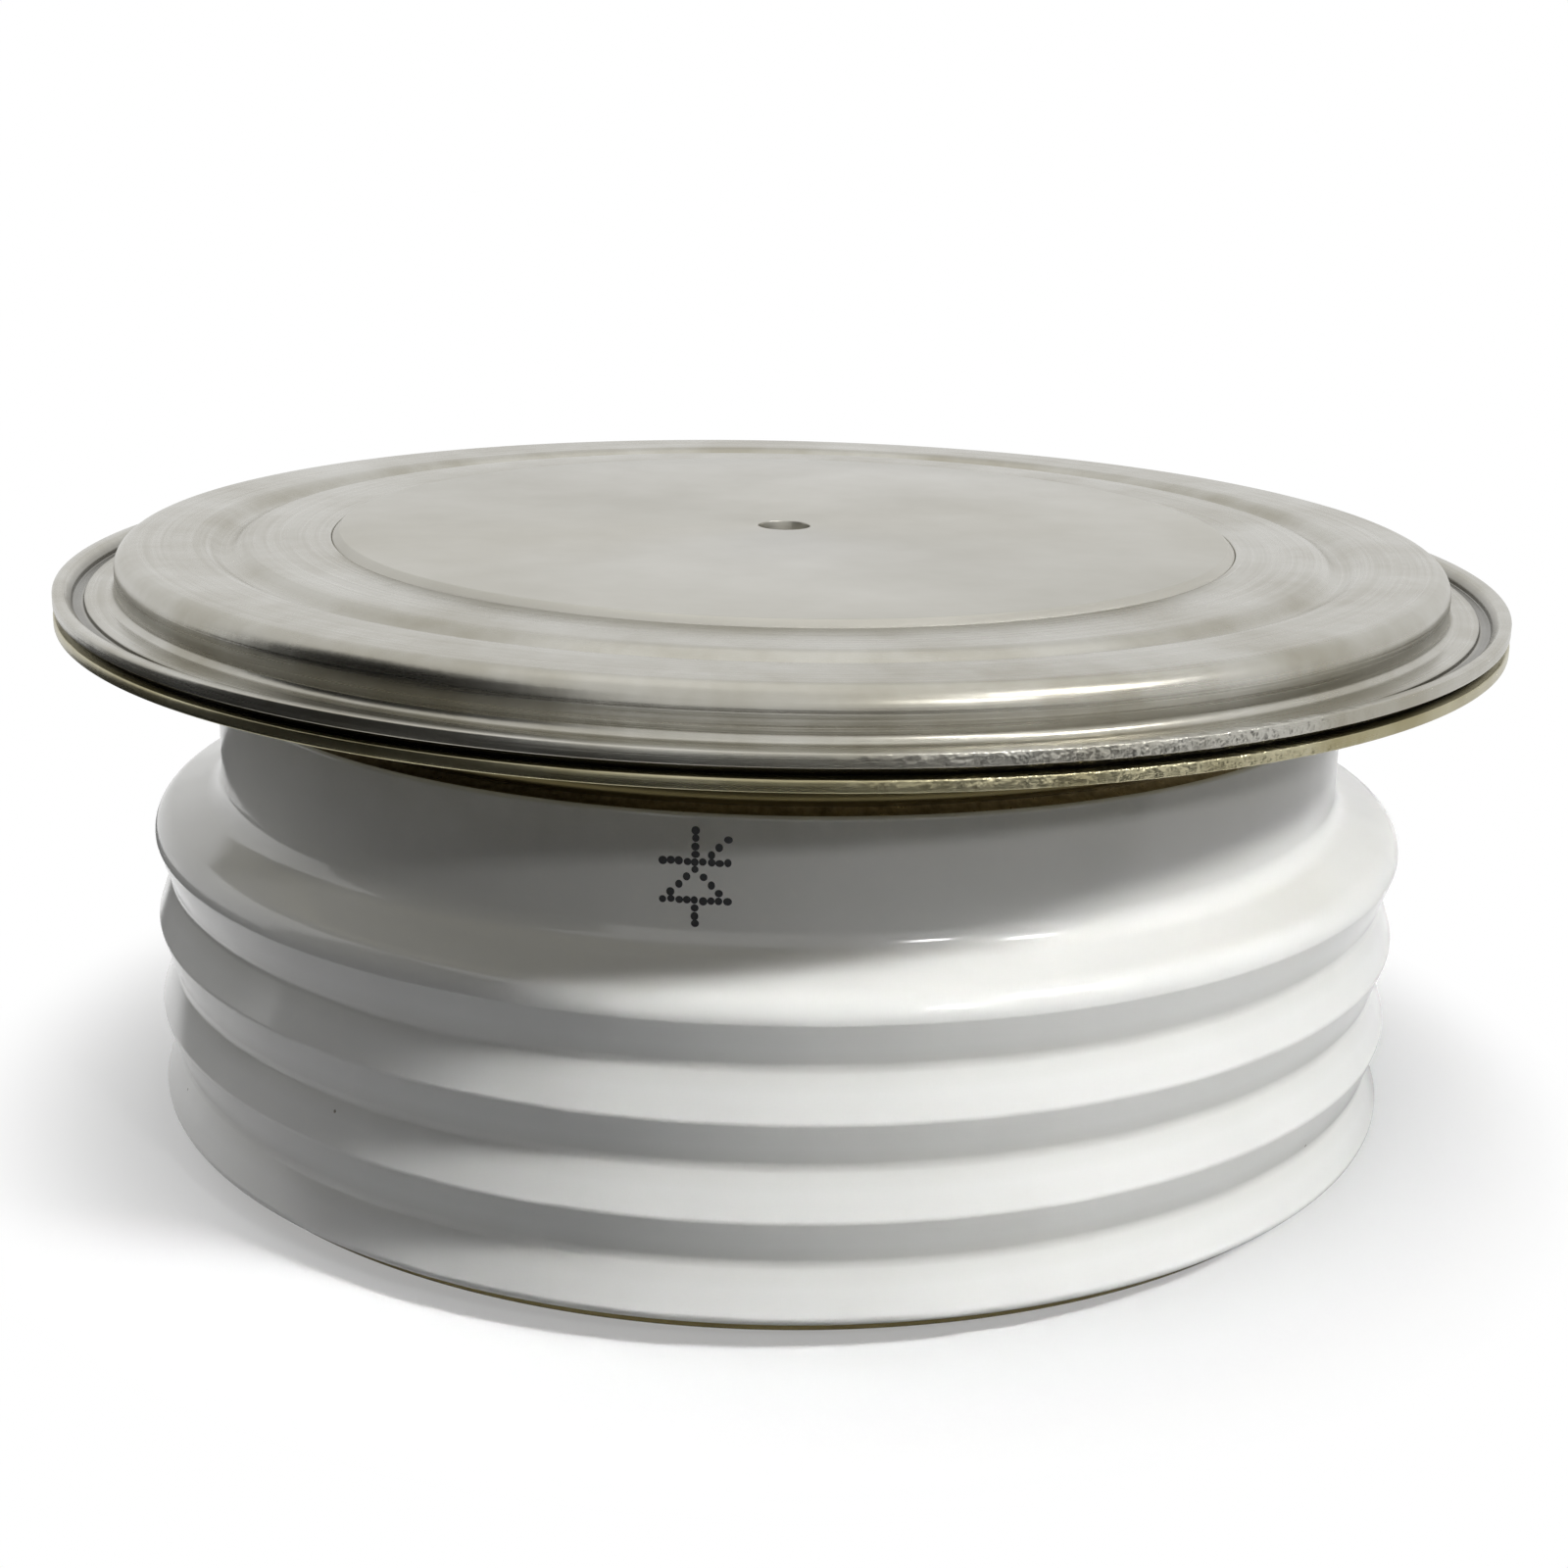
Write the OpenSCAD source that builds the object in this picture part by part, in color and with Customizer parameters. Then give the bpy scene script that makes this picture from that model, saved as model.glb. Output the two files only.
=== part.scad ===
// Disc thyristor in a ribbed ceramic housing, clamped between two heat sinks by its contact faces.
// Z is the axis of the disc. The anode face lies at z = 0, the cathode face and the welded rim are on top,
// and the gate tube leaves through the back of the ceramic along +Y. Millimetres.

/* [Ceramic ring] */
// Diameter of the plain neck above the ribs
neck_d = 75.2; // [70:0.2:80]
// Wall of the neck
neck_wall = 4.6; // [4:0.1:6]
// How far the ribs stand out past the neck
rib_reach = 4.4; // [3:0.1:6]
// Height of the ring
ceramic_h = 28.1; // [27:0.1:31]
// Number of ribs
rib_count = 4; // [3:1:4]
// Distance from one rib to the next
rib_pitch = 5.8; // [5.2:0.05:6]
// Depth of the grooves between the ribs
groove_depth = 0.9; // [0.4:0.1:1.2]
// Rounding of the ribs' crests
crest_round = 0.5; // [0.3:0.1:0.8]
// Rounding of the bottoms of the grooves
groove_round = 1.2; // [0.8:0.1:1.6]
// Lean of the shoulder between the top rib and the neck, in degrees from upright
shoulder_lean = 72; // [60:1:76]
// Rounding where the shoulder runs into the top rib
shoulder_round = 1.6; // [1:0.1:2]
// Hollow radius where the shoulder runs into the neck
neck_fillet = 1.6; // [1:0.1:2]
// Rounding of the edge under the lowest rib
base_round = 0.5; // [0.3:0.1:1]
// Rounding of the edge on top of the neck
neck_round = 0.3; // [0.1:0.1:0.6]

/* [Welded rim] */
// Outer diameter of both rim sheets
flange_d = 95; // [92:0.5:100]
// Thickness of the lower sheet, the weld flange
flange_t = 0.7; // [0.5:0.05:1]
// Thickness of the upper sheet, the lid flange
lid_t = 0.8; // [0.5:0.05:1]
// Height from the ceramic to the underside of the rim
skirt_h = 4.2; // [3.8:0.1:6]
// How far the skirt stands back from the neck
skirt_inset = 0.4; // [0.2:0.1:0.8]
// Bend radius between the rim and the skirt, at mid sheet
skirt_bend = 1.8; // [1.2:0.1:2.2]
// Bend radius between the skirt and its brazed foot, at mid sheet
foot_bend = 0.9; // [0.6:0.1:1.2]
// How far the brazed foot stops short of the ceramic's bore
foot_inset = 0.8; // [0.4:0.1:1.2]
// Width of the turned-up lip outside the welding groove
lip_w = 1; // [0.7:0.1:1.5]
// Opening between the two sheets at their edge
lip_gap = 0.55; // [0.3:0.05:0.8]
// Width of the groove that the welding tool presses
weld_w = 0.9; // [0.6:0.1:1.4]
// Depth of the welding groove in each sheet
weld_depth = 0.3; // [0.1:0.05:0.4]
// Width of the flat ring between the welding groove and the step
land_w = 1.4; // [1:0.1:2]
// Rise of the lid from the rim to its raised centre
step_h = 2.95; // [2.4:0.05:3.5]
// Bend radius at the foot and the top of the step, at mid sheet
step_bend = 0.9; // [0.6:0.1:1.1]
// Bend radius of the flexing bead in the lid, at mid sheet
bead_bend = 1.5; // [1.2:0.1:1.8]
// Lean of the sides of the flexing bead, in degrees from flat
bead_lean = 38; // [25:1:45]

/* [Pole pieces] */
// How far the pole shoulders reach past the contact faces, for the brazed sheets
shoulder_w = 1.2; // [0.8:0.1:1.4]
// Height of the shoulder on the cathode pole
shoulder_h = 3; // [2:0.1:4]
// Height of the anode pole
anode_pole_h = 17.5; // [16:0.5:18.5]
// How far the anode face stands below the flange ring
anode_proud = 1; // [0.6:0.1:1.6]
// Thickness of the flange ring under the ceramic
anode_flange_t = 0.8; // [0.5:0.1:1.2]
// How far the flange ring stands back from the ribs
anode_flange_inset = 1.2; // [0.8:0.1:3]
// How far the cathode face stands above the lid
cathode_proud = 0.4; // [0.2:0.1:0.8]
// Chamfer round the contact faces
face_chamfer = 0.5; // [0.2:0.1:0.8]
// Diameter of the locating hole in the middle of each contact face
centre_hole_d = 3.5; // [3:0.1:5]
// Depth of the locating holes
centre_hole_depth = 2; // [1.5:0.1:2.5]

/* [Silicon stack] */
// Thickness of the silver foils
foil_t = 0.2; // [0.1:0.05:0.4]
// Thickness of the molybdenum disc on the anode side
anode_moly_t = 2.4; // [2:0.1:3]
// Thickness of the silicon wafer
wafer_t = 0.8; // [0.5:0.05:1.1]
// Width of the bevel ground round the wafer
wafer_bevel = 1.4; // [1:0.1:2]
// Thickness of the molybdenum disc on the cathode side
cathode_moly_t = 1.6; // [1.2:0.1:2]
// How far the cathode side's disc stands back from the edge of the wafer
cathode_margin = 3; // [2.6:0.1:4]
// Diameter of the gate hole through the cathode side's disc
gate_hole_d = 6; // [5:0.5:7]
// Height of the rubber coating over the wafer's bevel
coating_h = 0.9; // [0.4:0.1:1.2]
// How far the locating ring reaches below the top of the anode pole
ring_drop = 3.5; // [2.5:0.1:5]
// How far the locating ring reaches up round the cathode pole
ring_reach = 2; // [1:0.1:2.4]

/* [Gate] */
// Distance from the top of the ceramic to the axis of the gate tube
gate_drop = 2.6; // [2.2:0.1:3]
// Outer diameter of the gate tube
gate_tube_d = 2.5; // [2:0.1:2.8]
// Wall of the gate tube
gate_tube_wall = 0.45; // [0.3:0.05:0.5]
// Length of the round part of the tube outside the neck
gate_stub = 3.5; // [2.5:0.1:4]
// Length over which the tube flattens
pinch_run = 1.6; // [1.2:0.1:2]
// Length of the flattened end
pinch_l = 3; // [2:0.1:3.2]
// Thickness of the flattened end
pinch_t = 0.9; // [0.7:0.1:1.2]
// How far the brazed eyelet covers the ceramic round the tube
eyelet_w = 0.7; // [0.5:0.1:0.8]
// Height of the brazed eyelet on the neck
eyelet_h = 1.1; // [0.8:0.1:1.5]
// Diameter of the gate wire
gate_wire_d = 0.9; // [0.6:0.1:1]
// Outer diameter of the sleeve on the gate wire
sleeve_d = 2.2; // [1.8:0.1:2.4]
// Diameter of the gate pin's stem
gate_pin_d = 2.4; // [2:0.1:3]
// Diameter of the gate pin's collar
gate_collar_d = 5.2; // [4.6:0.1:5.6]
// Height of the gate pin's collar
gate_collar_h = 1.8; // [1.5:0.1:2]
// How deep the wire sits in the collar
wire_depth = 1.3; // [0.8:0.1:1.8]
// Working height of the gate spring
spring_h = 4; // [3.5:0.1:4.5]
// Wire diameter of the gate spring
spring_wire_d = 0.6; // [0.4:0.05:0.7]
// Turns of the gate spring between its closed ends
spring_turns = 3; // [2:0.5:4]
// Wall of the insulating bush
bush_wall = 1.5; // [1:0.1:2]
// Height of the bush's foot, which guides the pin
bush_foot_h = 1.5; // [1:0.1:2]
// Thickness of the insulating cap over the spring
gate_cap_t = 1; // [0.6:0.1:1.4]

/* [Clearances] */
// Radial gap between the pole shoulders and the ceramic
pole_clear = 1.8; // [1.2:0.1:2.5]
// Radial clearance of the locating ring in the ceramic, round the poles and round the gate lead
ring_clear = 0.1; // [0.05:0.05:0.2]
// Radial clearance of the wafer and its discs in the locating ring
wafer_clear = 0.1; // [0.05:0.05:0.2]
// Clearance between the rubber coating and the cathode side's disc
coating_clear = 0.2; // [0.1:0.05:0.4]
// Radial clearance of the gate pin in its bush
pin_clear = 0.1; // [0.05:0.05:0.2]
// Radial clearance of the gate pin's collar in its bush
collar_clear = 0.3; // [0.2:0.05:0.4]
// Room under the gate pin's collar for the pin to follow the wafer
collar_drop = 0.4; // [0.3:0.1:1]
// Radial clearance of the bush and its cap in the cathode pole
bush_clear = 0.05; // [0.03:0.01:0.1]
// Radial clearance of the sleeve in the pole and the bush
sleeve_clear = 0.15; // [0.1:0.05:0.3]
// Radial clearance of the gate wire in the sleeve and the collar
wire_clear = 0.04; // [0.02:0.01:0.08]

/* [Hidden] */
$fn = 96;
arc_steps = 8;
cut_past = 1;

// Radii
neck_r = neck_d / 2;
rib_r = neck_r + rib_reach;
bore_r = neck_r - neck_wall;
flange_r = flange_d / 2;
shoulder_r = bore_r - pole_clear;
pole_r = shoulder_r - shoulder_w;
ring_in_r = pole_r + ring_clear;
ring_out_r = bore_r - ring_clear;
wafer_r = ring_in_r - wafer_clear;
cathode_moly_r = wafer_r - cathode_margin;
gate_hole_r = gate_hole_d / 2;
tube_r = gate_tube_d / 2;
wire_r = gate_wire_d / 2;
sleeve_r = sleeve_d / 2;
sleeve_way_r = sleeve_r + sleeve_clear;
pin_r = gate_pin_d / 2;
collar_r = gate_collar_d / 2;
bush_in_r = collar_r + collar_clear;
bush_r = bush_in_r + bush_wall;
pocket_r = bush_r + bush_clear;

// Levels of the housing, from the anode face up
ceramic_z = anode_proud + anode_flange_t;
ceramic_top = ceramic_z + ceramic_h;
rim_z = ceramic_top + skirt_h;
lid_z = rim_z + flange_t;
plateau_z = lid_z + step_h;
plateau_top = plateau_z + lid_t;
cathode_face_z = plateau_top + cathode_proud;

// Levels of the stack, from the anode pole up
ledge_z = anode_pole_h - ring_drop;
anode_moly_z = anode_pole_h + foil_t;
wafer_z = anode_moly_z + anode_moly_t;
wafer_top = wafer_z + wafer_t;
cathode_foil_z = wafer_top + cathode_moly_t;
cathode_pole_z = cathode_foil_z + foil_t;

// Levels of the gate, on the plain neck
gate_z = ceramic_top - gate_drop;
collar_z = gate_z - gate_collar_h / 2;
spring_z = gate_z + gate_collar_h / 2;
spring_top = spring_z + spring_h;
pocket_top = spring_top + gate_cap_t;

// Ribs: straight flanks that run smoothly into the rounded crests and grooves
rounds_past = crest_round + groove_round - groove_depth;
flank_lean = asin((crest_round + groove_round) / norm([rib_pitch / 2, rounds_past]))
    - atan2(rounds_past, rib_pitch / 2);
first_crest_z = ceramic_z + base_round;
top_crest_z = first_crest_z + (rib_count - 1) * rib_pitch;
shoulder_bends = shoulder_round + neck_fillet;
shoulder_run = rib_reach - shoulder_bends * (1 - cos(shoulder_lean));
neck_z = top_crest_z + shoulder_bends * sin(shoulder_lean) + shoulder_run / tan(shoulder_lean);

// Rim: radii counted inwards from the edge
weld_out_r = flange_r - lip_w;
weld_in_r = weld_out_r - weld_w;
step_r = weld_in_r - land_w;
plateau_r = step_r - 2 * step_bend;
bead_r = (plateau_r + shoulder_r) / 2;
skirt_r = neck_r - skirt_inset - flange_t / 2;
foot_r = bore_r + foot_inset;

// Gate: distances from the axis
tube_in = bore_r - gate_tube_wall;
pinch_at = neck_r + gate_stub;
tube_bore_r = tube_r - gate_tube_wall;
blade_w = PI * (tube_r - gate_tube_wall / 2);
spring_r = collar_r - spring_wire_d / 2 - pin_clear;

// Points along an arc, without its first point
function arc(c, r, a0, a1) =
    [for (i = [1 : arc_steps]) let (a = a0 + (a1 - a0) * i / arc_steps) c + r * [cos(a), sin(a)]];

function unit(v) = v / norm(v);
function left_of(v) = [-v.y, v.x];

// Mitred normal of a path at point i
function path_normal(path, i) =
    let (before = unit(path[max(i, 1)] - path[max(i, 1) - 1]))
    let (last = len(path) - 1)
    let (after = unit(path[min(i, last - 1) + 1] - path[min(i, last - 1)]))
    let (middle = unit(left_of(before) + left_of(after)))
    middle / (middle * left_of(before));

// Section of a sheet of thickness t whose middle follows a path
module sheet(path, t) {
    last = len(path) - 1;
    near = [for (i = [0 : last]) path[i] + t / 2 * path_normal(path, i)];
    far = [for (i = [last : -1 : 0]) path[i] - t / 2 * path_normal(path, i)];
    polygon(concat(near, far));
}

module ring(r_in, r_out, z, h) {
    rotate_extrude() translate([r_in, z]) square([r_out - r_in, h]);
}

// A cylinder that lies along the gate axis, from y0 to y1
module along_gate(r, y0, y1) {
    translate([0, y0, gate_z]) rotate([-90, 0, 0]) cylinder(r = r, h = y1 - y0);
}

module locating_hole(z) {
    translate([0, 0, z]) cylinder(d = centre_hole_d, h = centre_hole_depth + cut_past);
}

// The ceramic before the gate hole is drilled
module ceramic_blank() {
    base = concat([[bore_r, ceramic_z], [rib_r - base_round, ceramic_z]],
        arc([rib_r - base_round, first_crest_z], base_round, -90, 0));
    crest_at = rib_r - crest_round;
    groove_at = rib_r - groove_depth + groove_round;
    ribs = [for (i = [0 : rib_count - 2])
        let (low = [crest_at, first_crest_z + i * rib_pitch], high = low + [0, rib_pitch])
        let (groove = [groove_at, low.y + rib_pitch / 2])
        each concat(
            arc(low, crest_round, 0, flank_lean),
            [groove - groove_round * [cos(flank_lean), sin(flank_lean)]],
            arc(groove, groove_round, 180 + flank_lean, 180 - flank_lean),
            [high + crest_round * [cos(flank_lean), -sin(flank_lean)]],
            arc(high, crest_round, -flank_lean, 0))];
    neck_start = [neck_r + neck_fillet * (1 - cos(shoulder_lean)), neck_z - neck_fillet * sin(shoulder_lean)];
    shoulder = concat(
        arc([rib_r - shoulder_round, top_crest_z], shoulder_round, 0, shoulder_lean), [neck_start],
        arc([neck_r + neck_fillet, neck_z], neck_fillet, 180 + shoulder_lean, 180));
    neck = concat([[neck_r, ceramic_top - neck_round]],
        arc([neck_r - neck_round, ceramic_top - neck_round], neck_round, 0, 90), [[bore_r, ceramic_top]]);
    rotate_extrude() polygon(concat(base, ribs, shoulder, neck));
}

module ceramic_ring() {
    color("white") difference() {
        ceramic_blank();
        along_gate(tube_r, 0, rib_r + cut_past);
    }
}

// Lower sheet of the rim: flat rim, bend, skirt and the foot that is brazed on the ceramic
module weld_flange() {
    rim_mid = rim_z + flange_t / 2;
    foot_mid = ceramic_top + flange_t / 2;
    path = concat([[flange_r, rim_mid], [skirt_r + skirt_bend, rim_mid]],
        arc([skirt_r + skirt_bend, rim_mid - skirt_bend], skirt_bend, 90, 180),
        [[skirt_r, foot_mid + foot_bend]],
        arc([skirt_r - foot_bend, foot_mid + foot_bend], foot_bend, 0, -90),
        [[foot_r, foot_mid]]);
    color("darkkhaki") rotate_extrude() difference() {
        sheet(path, flange_t);
        translate([weld_in_r, rim_z - cut_past]) square([weld_w, cut_past + weld_depth]);
    }
}

// Upper sheet of the rim: splayed lip, welding groove, step, raised lid with its flexing bead
module lid_flange() {
    low = lid_z + lid_t / 2;
    high = plateau_z + lid_t / 2;
    dip = 2 * bead_bend * (1 - cos(bead_lean));
    reach = 2 * bead_bend * sin(bead_lean);
    lip = [[flange_r, low + lip_gap], [flange_r - lip_w / 2, low + lip_gap], [weld_out_r, low]];
    path = concat(lip, [[step_r, low]],
        arc([step_r, low + step_bend], step_bend, -90, -180),
        [[step_r - step_bend, high - step_bend]],
        arc([plateau_r, high - step_bend], step_bend, 0, 90),
        [[bead_r + reach, high]],
        arc([bead_r + reach, high - bead_bend], bead_bend, 90, 90 + bead_lean),
        arc([bead_r, high - dip + bead_bend], bead_bend, -90 + bead_lean, -90 - bead_lean),
        arc([bead_r - reach, high - bead_bend], bead_bend, 90 - bead_lean, 90),
        [[pole_r, high]]);
    color("silver") rotate_extrude() difference() {
        sheet(path, lid_t);
        translate([weld_in_r, lid_z + lid_t - weld_depth]) square([weld_w, cut_past + weld_depth]);
    }
}

// Upper pole: contact face, brazing shoulder, pocket for the gate and the way out for its wire
module cathode_pole() {
    shoulder_z = plateau_z - shoulder_h;
    section = [[0, cathode_pole_z], [pole_r - face_chamfer, cathode_pole_z],
        [pole_r, cathode_pole_z + face_chamfer], [pole_r, shoulder_z], [shoulder_r, shoulder_z],
        [shoulder_r, plateau_z], [pole_r, plateau_z], [pole_r, cathode_face_z - face_chamfer],
        [pole_r - face_chamfer, cathode_face_z], [0, cathode_face_z]];
    color("gainsboro") difference() {
        rotate_extrude() polygon(section);
        translate([0, 0, cathode_pole_z - cut_past])
            cylinder(r = pocket_r, h = pocket_top - cathode_pole_z + cut_past);
        along_gate(sleeve_way_r, 0, shoulder_r + cut_past);
        locating_hole(cathode_face_z - centre_hole_depth);
    }
}

// Lower pole: contact face, brazing shoulder and the ledge that carries the locating ring
module anode_pole() {
    section = [[0, 0], [pole_r - face_chamfer, 0], [pole_r, face_chamfer], [pole_r, ceramic_z],
        [shoulder_r, ceramic_z], [shoulder_r, ledge_z], [pole_r, ledge_z],
        [pole_r, anode_pole_h - face_chamfer], [pole_r - face_chamfer, anode_pole_h], [0, anode_pole_h]];
    color("gainsboro") difference() {
        rotate_extrude() polygon(section);
        locating_hole(-cut_past);
    }
}

module anode_flange() {
    color("darkkhaki") ring(pole_r, rib_r - anode_flange_inset, anode_proud, anode_flange_t);
}

module anode_foil() {
    color("whitesmoke") ring(0, wafer_r - wafer_bevel, anode_pole_h, foil_t);
}

module anode_moly_disc() {
    color("slategray") ring(0, wafer_r, anode_moly_z, anode_moly_t);
}

// The wafer is widest where it is alloyed to the anode side's disc
module silicon_wafer() {
    section = [[0, wafer_z], [wafer_r, wafer_z], [wafer_r - wafer_bevel, wafer_top], [0, wafer_top]];
    color("dimgray") rotate_extrude() polygon(section);
}

module edge_coating() {
    inner = cathode_moly_r + coating_clear;
    section = [[inner, wafer_top], [wafer_r - wafer_bevel, wafer_top], [wafer_r, wafer_z],
        [wafer_r, wafer_top + coating_h / 2], [wafer_r - wafer_bevel, wafer_top + coating_h],
        [inner, wafer_top + coating_h]];
    color("firebrick") rotate_extrude() polygon(section);
}

module cathode_moly_disc() {
    color("slategray") ring(gate_hole_r, cathode_moly_r, wafer_top, cathode_moly_t);
}

module cathode_foil() {
    color("whitesmoke") ring(gate_hole_r, cathode_moly_r, cathode_foil_z, foil_t);
}

// Centres the stack between the poles, with a slot where it would meet the gate lead
module locating_ring() {
    slot_r = tube_r + ring_clear;
    ring_h = cathode_pole_z + ring_reach - ledge_z;
    color("ivory") difference() {
        ring(ring_in_r, ring_out_r, ledge_z, ring_h);
        along_gate(slot_r, 0, bore_r);
        translate([-slot_r, 0, gate_z]) cube([2 * slot_r, bore_r, ring_h]);
    }
}

// Stem on the wafer's gate, collar for the wire and the spring
module gate_pin() {
    spigot_r = spring_r - spring_wire_d / 2 - pin_clear;
    spigot_top = spring_z + spring_wire_d;
    section = [[0, wafer_top], [pin_r, wafer_top], [pin_r, collar_z], [collar_r, collar_z],
        [collar_r, spring_z], [spigot_r, spring_z], [spigot_r, spigot_top], [0, spigot_top]];
    color("lightsteelblue") difference() {
        rotate_extrude() polygon(section);
        along_gate(wire_r + wire_clear, collar_r - wire_depth, collar_r + cut_past);
    }
}

// Coil with closed ends, swept with eight flats so that its ends sit flat
module gate_spring() {
    sides = 8;
    per_turn = 16;
    half_wire = spring_wire_d / 2;
    flat = half_wire * cos(180 / sides);
    low = spring_z + flat;
    climb = spring_h - 2 * flat;
    closed = 0.75;
    turns = spring_turns + 2 * closed;
    steps = turns * per_turn;
    rings = [for (i = [0 : steps]) let (turn = i / per_turn, a = 360 * turn)
        let (share = min(1, max(0, (turn - closed) / spring_turns)))
        [for (k = [0 : sides - 1]) let (b = 360 * (k + 0.5) / sides, r = spring_r + half_wire * cos(b))
            [r * cos(a), r * sin(a), low + climb * share + half_wire * sin(b)]]];
    skin = [for (i = [0 : steps - 1], k = [0 : sides - 1]) let (n = (k + 1) % sides)
        [i * sides + k, (i + 1) * sides + k, (i + 1) * sides + n, i * sides + n]];
    ends = [[for (k = [0 : sides - 1]) k], [for (k = [sides - 1 : -1 : 0]) steps * sides + k]];
    color("silver") polyhedron([for (r = rings) each r], concat(skin, ends));
}

module gate_bush() {
    guide_r = pin_r + pin_clear;
    foot_top = cathode_pole_z + bush_foot_h;
    section = [[guide_r, cathode_pole_z], [bush_r, cathode_pole_z], [bush_r, spring_top],
        [bush_in_r, spring_top], [bush_in_r, foot_top], [guide_r, foot_top]];
    color("ivory") difference() {
        rotate_extrude() polygon(section);
        ring(0, bush_in_r, collar_z - collar_drop, spring_top);
        along_gate(sleeve_way_r, 0, bush_r + cut_past);
    }
}

module gate_cap() {
    color("ivory") ring(0, bush_r, spring_top, gate_cap_t);
}

module gate_wire() {
    color("whitesmoke") along_gate(wire_r, collar_r - wire_depth, pinch_at);
}

module gate_sleeve() {
    color("ivory") difference() {
        along_gate(sleeve_r, bush_in_r, tube_in);
        along_gate(wire_r + wire_clear, 0, tube_in + cut_past);
    }
}

// Round tube through the ceramic, squeezed flat and cut off at its outer end
module gate_tube() {
    blade_at = pinch_at + pinch_run;
    slice = pinch_t / 10;
    color("silver") {
        difference() {
            along_gate(tube_r, tube_in, pinch_at);
            along_gate(tube_bore_r, tube_in - cut_past, pinch_at + cut_past);
        }
        hull() {
            along_gate(tube_r, pinch_at, pinch_at + slice, $fn = 32);
            translate([-blade_w / 2, blade_at - slice, gate_z - pinch_t / 2]) cube([blade_w, slice, pinch_t]);
        }
        translate([-blade_w / 2, blade_at, gate_z - pinch_t / 2]) cube([blade_w, pinch_l, pinch_t]);
    }
}

// Braze collar that follows the ceramic round the tube
module gate_eyelet() {
    seat = neck_r - cut_past;
    color("goldenrod") difference() {
        translate([0, seat, gate_z]) rotate([-90, 0, 0])
            cylinder(r1 = tube_r + eyelet_w, r2 = tube_r + eyelet_w / 2, h = eyelet_h + cut_past);
        along_gate(tube_r, 0, neck_r + eyelet_h + cut_past);
        ceramic_blank($fn = 480);
    }
}

ceramic_ring();
weld_flange();
lid_flange();
cathode_pole();
anode_pole();
anode_flange();
anode_foil();
anode_moly_disc();
silicon_wafer();
edge_coating();
cathode_moly_disc();
cathode_foil();
locating_ring();
gate_pin();
gate_spring();
gate_bush();
gate_cap();
gate_wire();
gate_sleeve();
gate_tube();
gate_eyelet();
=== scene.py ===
# %% [markdown]
# # A disc thyristor in its ribbed ceramic housing
# The real part is a power switch shaped like a puck. Two nickel-plated copper poles press a silicon wafer
# between them, a glazed ceramic ring keeps the poles apart, and two pressed sheets are welded together at
# their rims to seal it. This lesson loads the exact solids as a fixed frame and then dresses them: the
# parts that show are modelled again with fine edges, and every part gets the surface that its material
# really has.

# %% The frame
import math
import random

import bpy
from mathutils import Matrix, Vector


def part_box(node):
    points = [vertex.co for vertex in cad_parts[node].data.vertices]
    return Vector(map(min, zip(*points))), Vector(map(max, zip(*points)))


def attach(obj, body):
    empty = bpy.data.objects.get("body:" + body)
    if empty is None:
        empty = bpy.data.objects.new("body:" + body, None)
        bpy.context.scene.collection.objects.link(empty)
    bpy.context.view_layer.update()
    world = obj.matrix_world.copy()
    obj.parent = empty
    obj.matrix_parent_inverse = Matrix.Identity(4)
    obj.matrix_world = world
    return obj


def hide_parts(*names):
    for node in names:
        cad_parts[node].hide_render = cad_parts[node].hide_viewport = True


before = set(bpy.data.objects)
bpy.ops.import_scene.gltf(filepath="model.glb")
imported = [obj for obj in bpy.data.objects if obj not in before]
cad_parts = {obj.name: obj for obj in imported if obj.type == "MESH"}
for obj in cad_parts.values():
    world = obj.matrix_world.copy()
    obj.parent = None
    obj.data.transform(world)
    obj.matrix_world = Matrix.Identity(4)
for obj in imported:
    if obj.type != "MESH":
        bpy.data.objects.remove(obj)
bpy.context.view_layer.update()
bpy.ops.object.select_all(action="DESELECT")
bpy.context.scene.view_settings.view_transform = "Standard"
MM = 0.001
print("nodes in the frame:", len(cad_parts))

# %% [markdown]
# The camera comes first, because every later choice is judged through it. A short tele lens close to the
# part gives the same strong perspective as the picture that the part is made from: the near edge of the
# rim looks much lower than the far one. The camera stands a little above the rim, looks down on it, and
# is tilted by about a degree, as a camera held in the hand is.

# %% The camera
LENS = 55.55
CAMERA_BACK = 161.4 * MM
CAMERA_UP = 67.7 * MM
LOOK_DOWN = math.radians(16.21)
LOOK_RIGHT = math.radians(0.14)
TILT = math.radians(1.31)

bpy.ops.object.camera_add()
camera = bpy.context.active_object
camera.name = "camera"
camera.data.lens = LENS
camera.data.sensor_width = 36
camera.data.clip_start = 10 * MM
camera.matrix_world = (
    Matrix.Translation((0, -CAMERA_BACK, CAMERA_UP))
    @ Matrix.Rotation(-LOOK_RIGHT, 4, "Z")
    @ Matrix.Rotation(math.pi / 2 - LOOK_DOWN, 4, "X")
    @ Matrix.Rotation(TILT, 4, "Z")
)
bpy.context.scene.camera = camera
print("camera at", [round(v / MM, 1) for v in camera.location], "mm")

# %% [markdown]
# Sizes are written in millimetres. Those that a solid's box can tell are read from the frame, so that the
# looks follow the solids, and the few that a box can't tell, such as the neck inside the ribs, are named
# here.

# %% Sizes
def in_mm(corners):
    """The low and the high corner of a box, in millimetres."""
    return [corner / MM for corner in corners]


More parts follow.
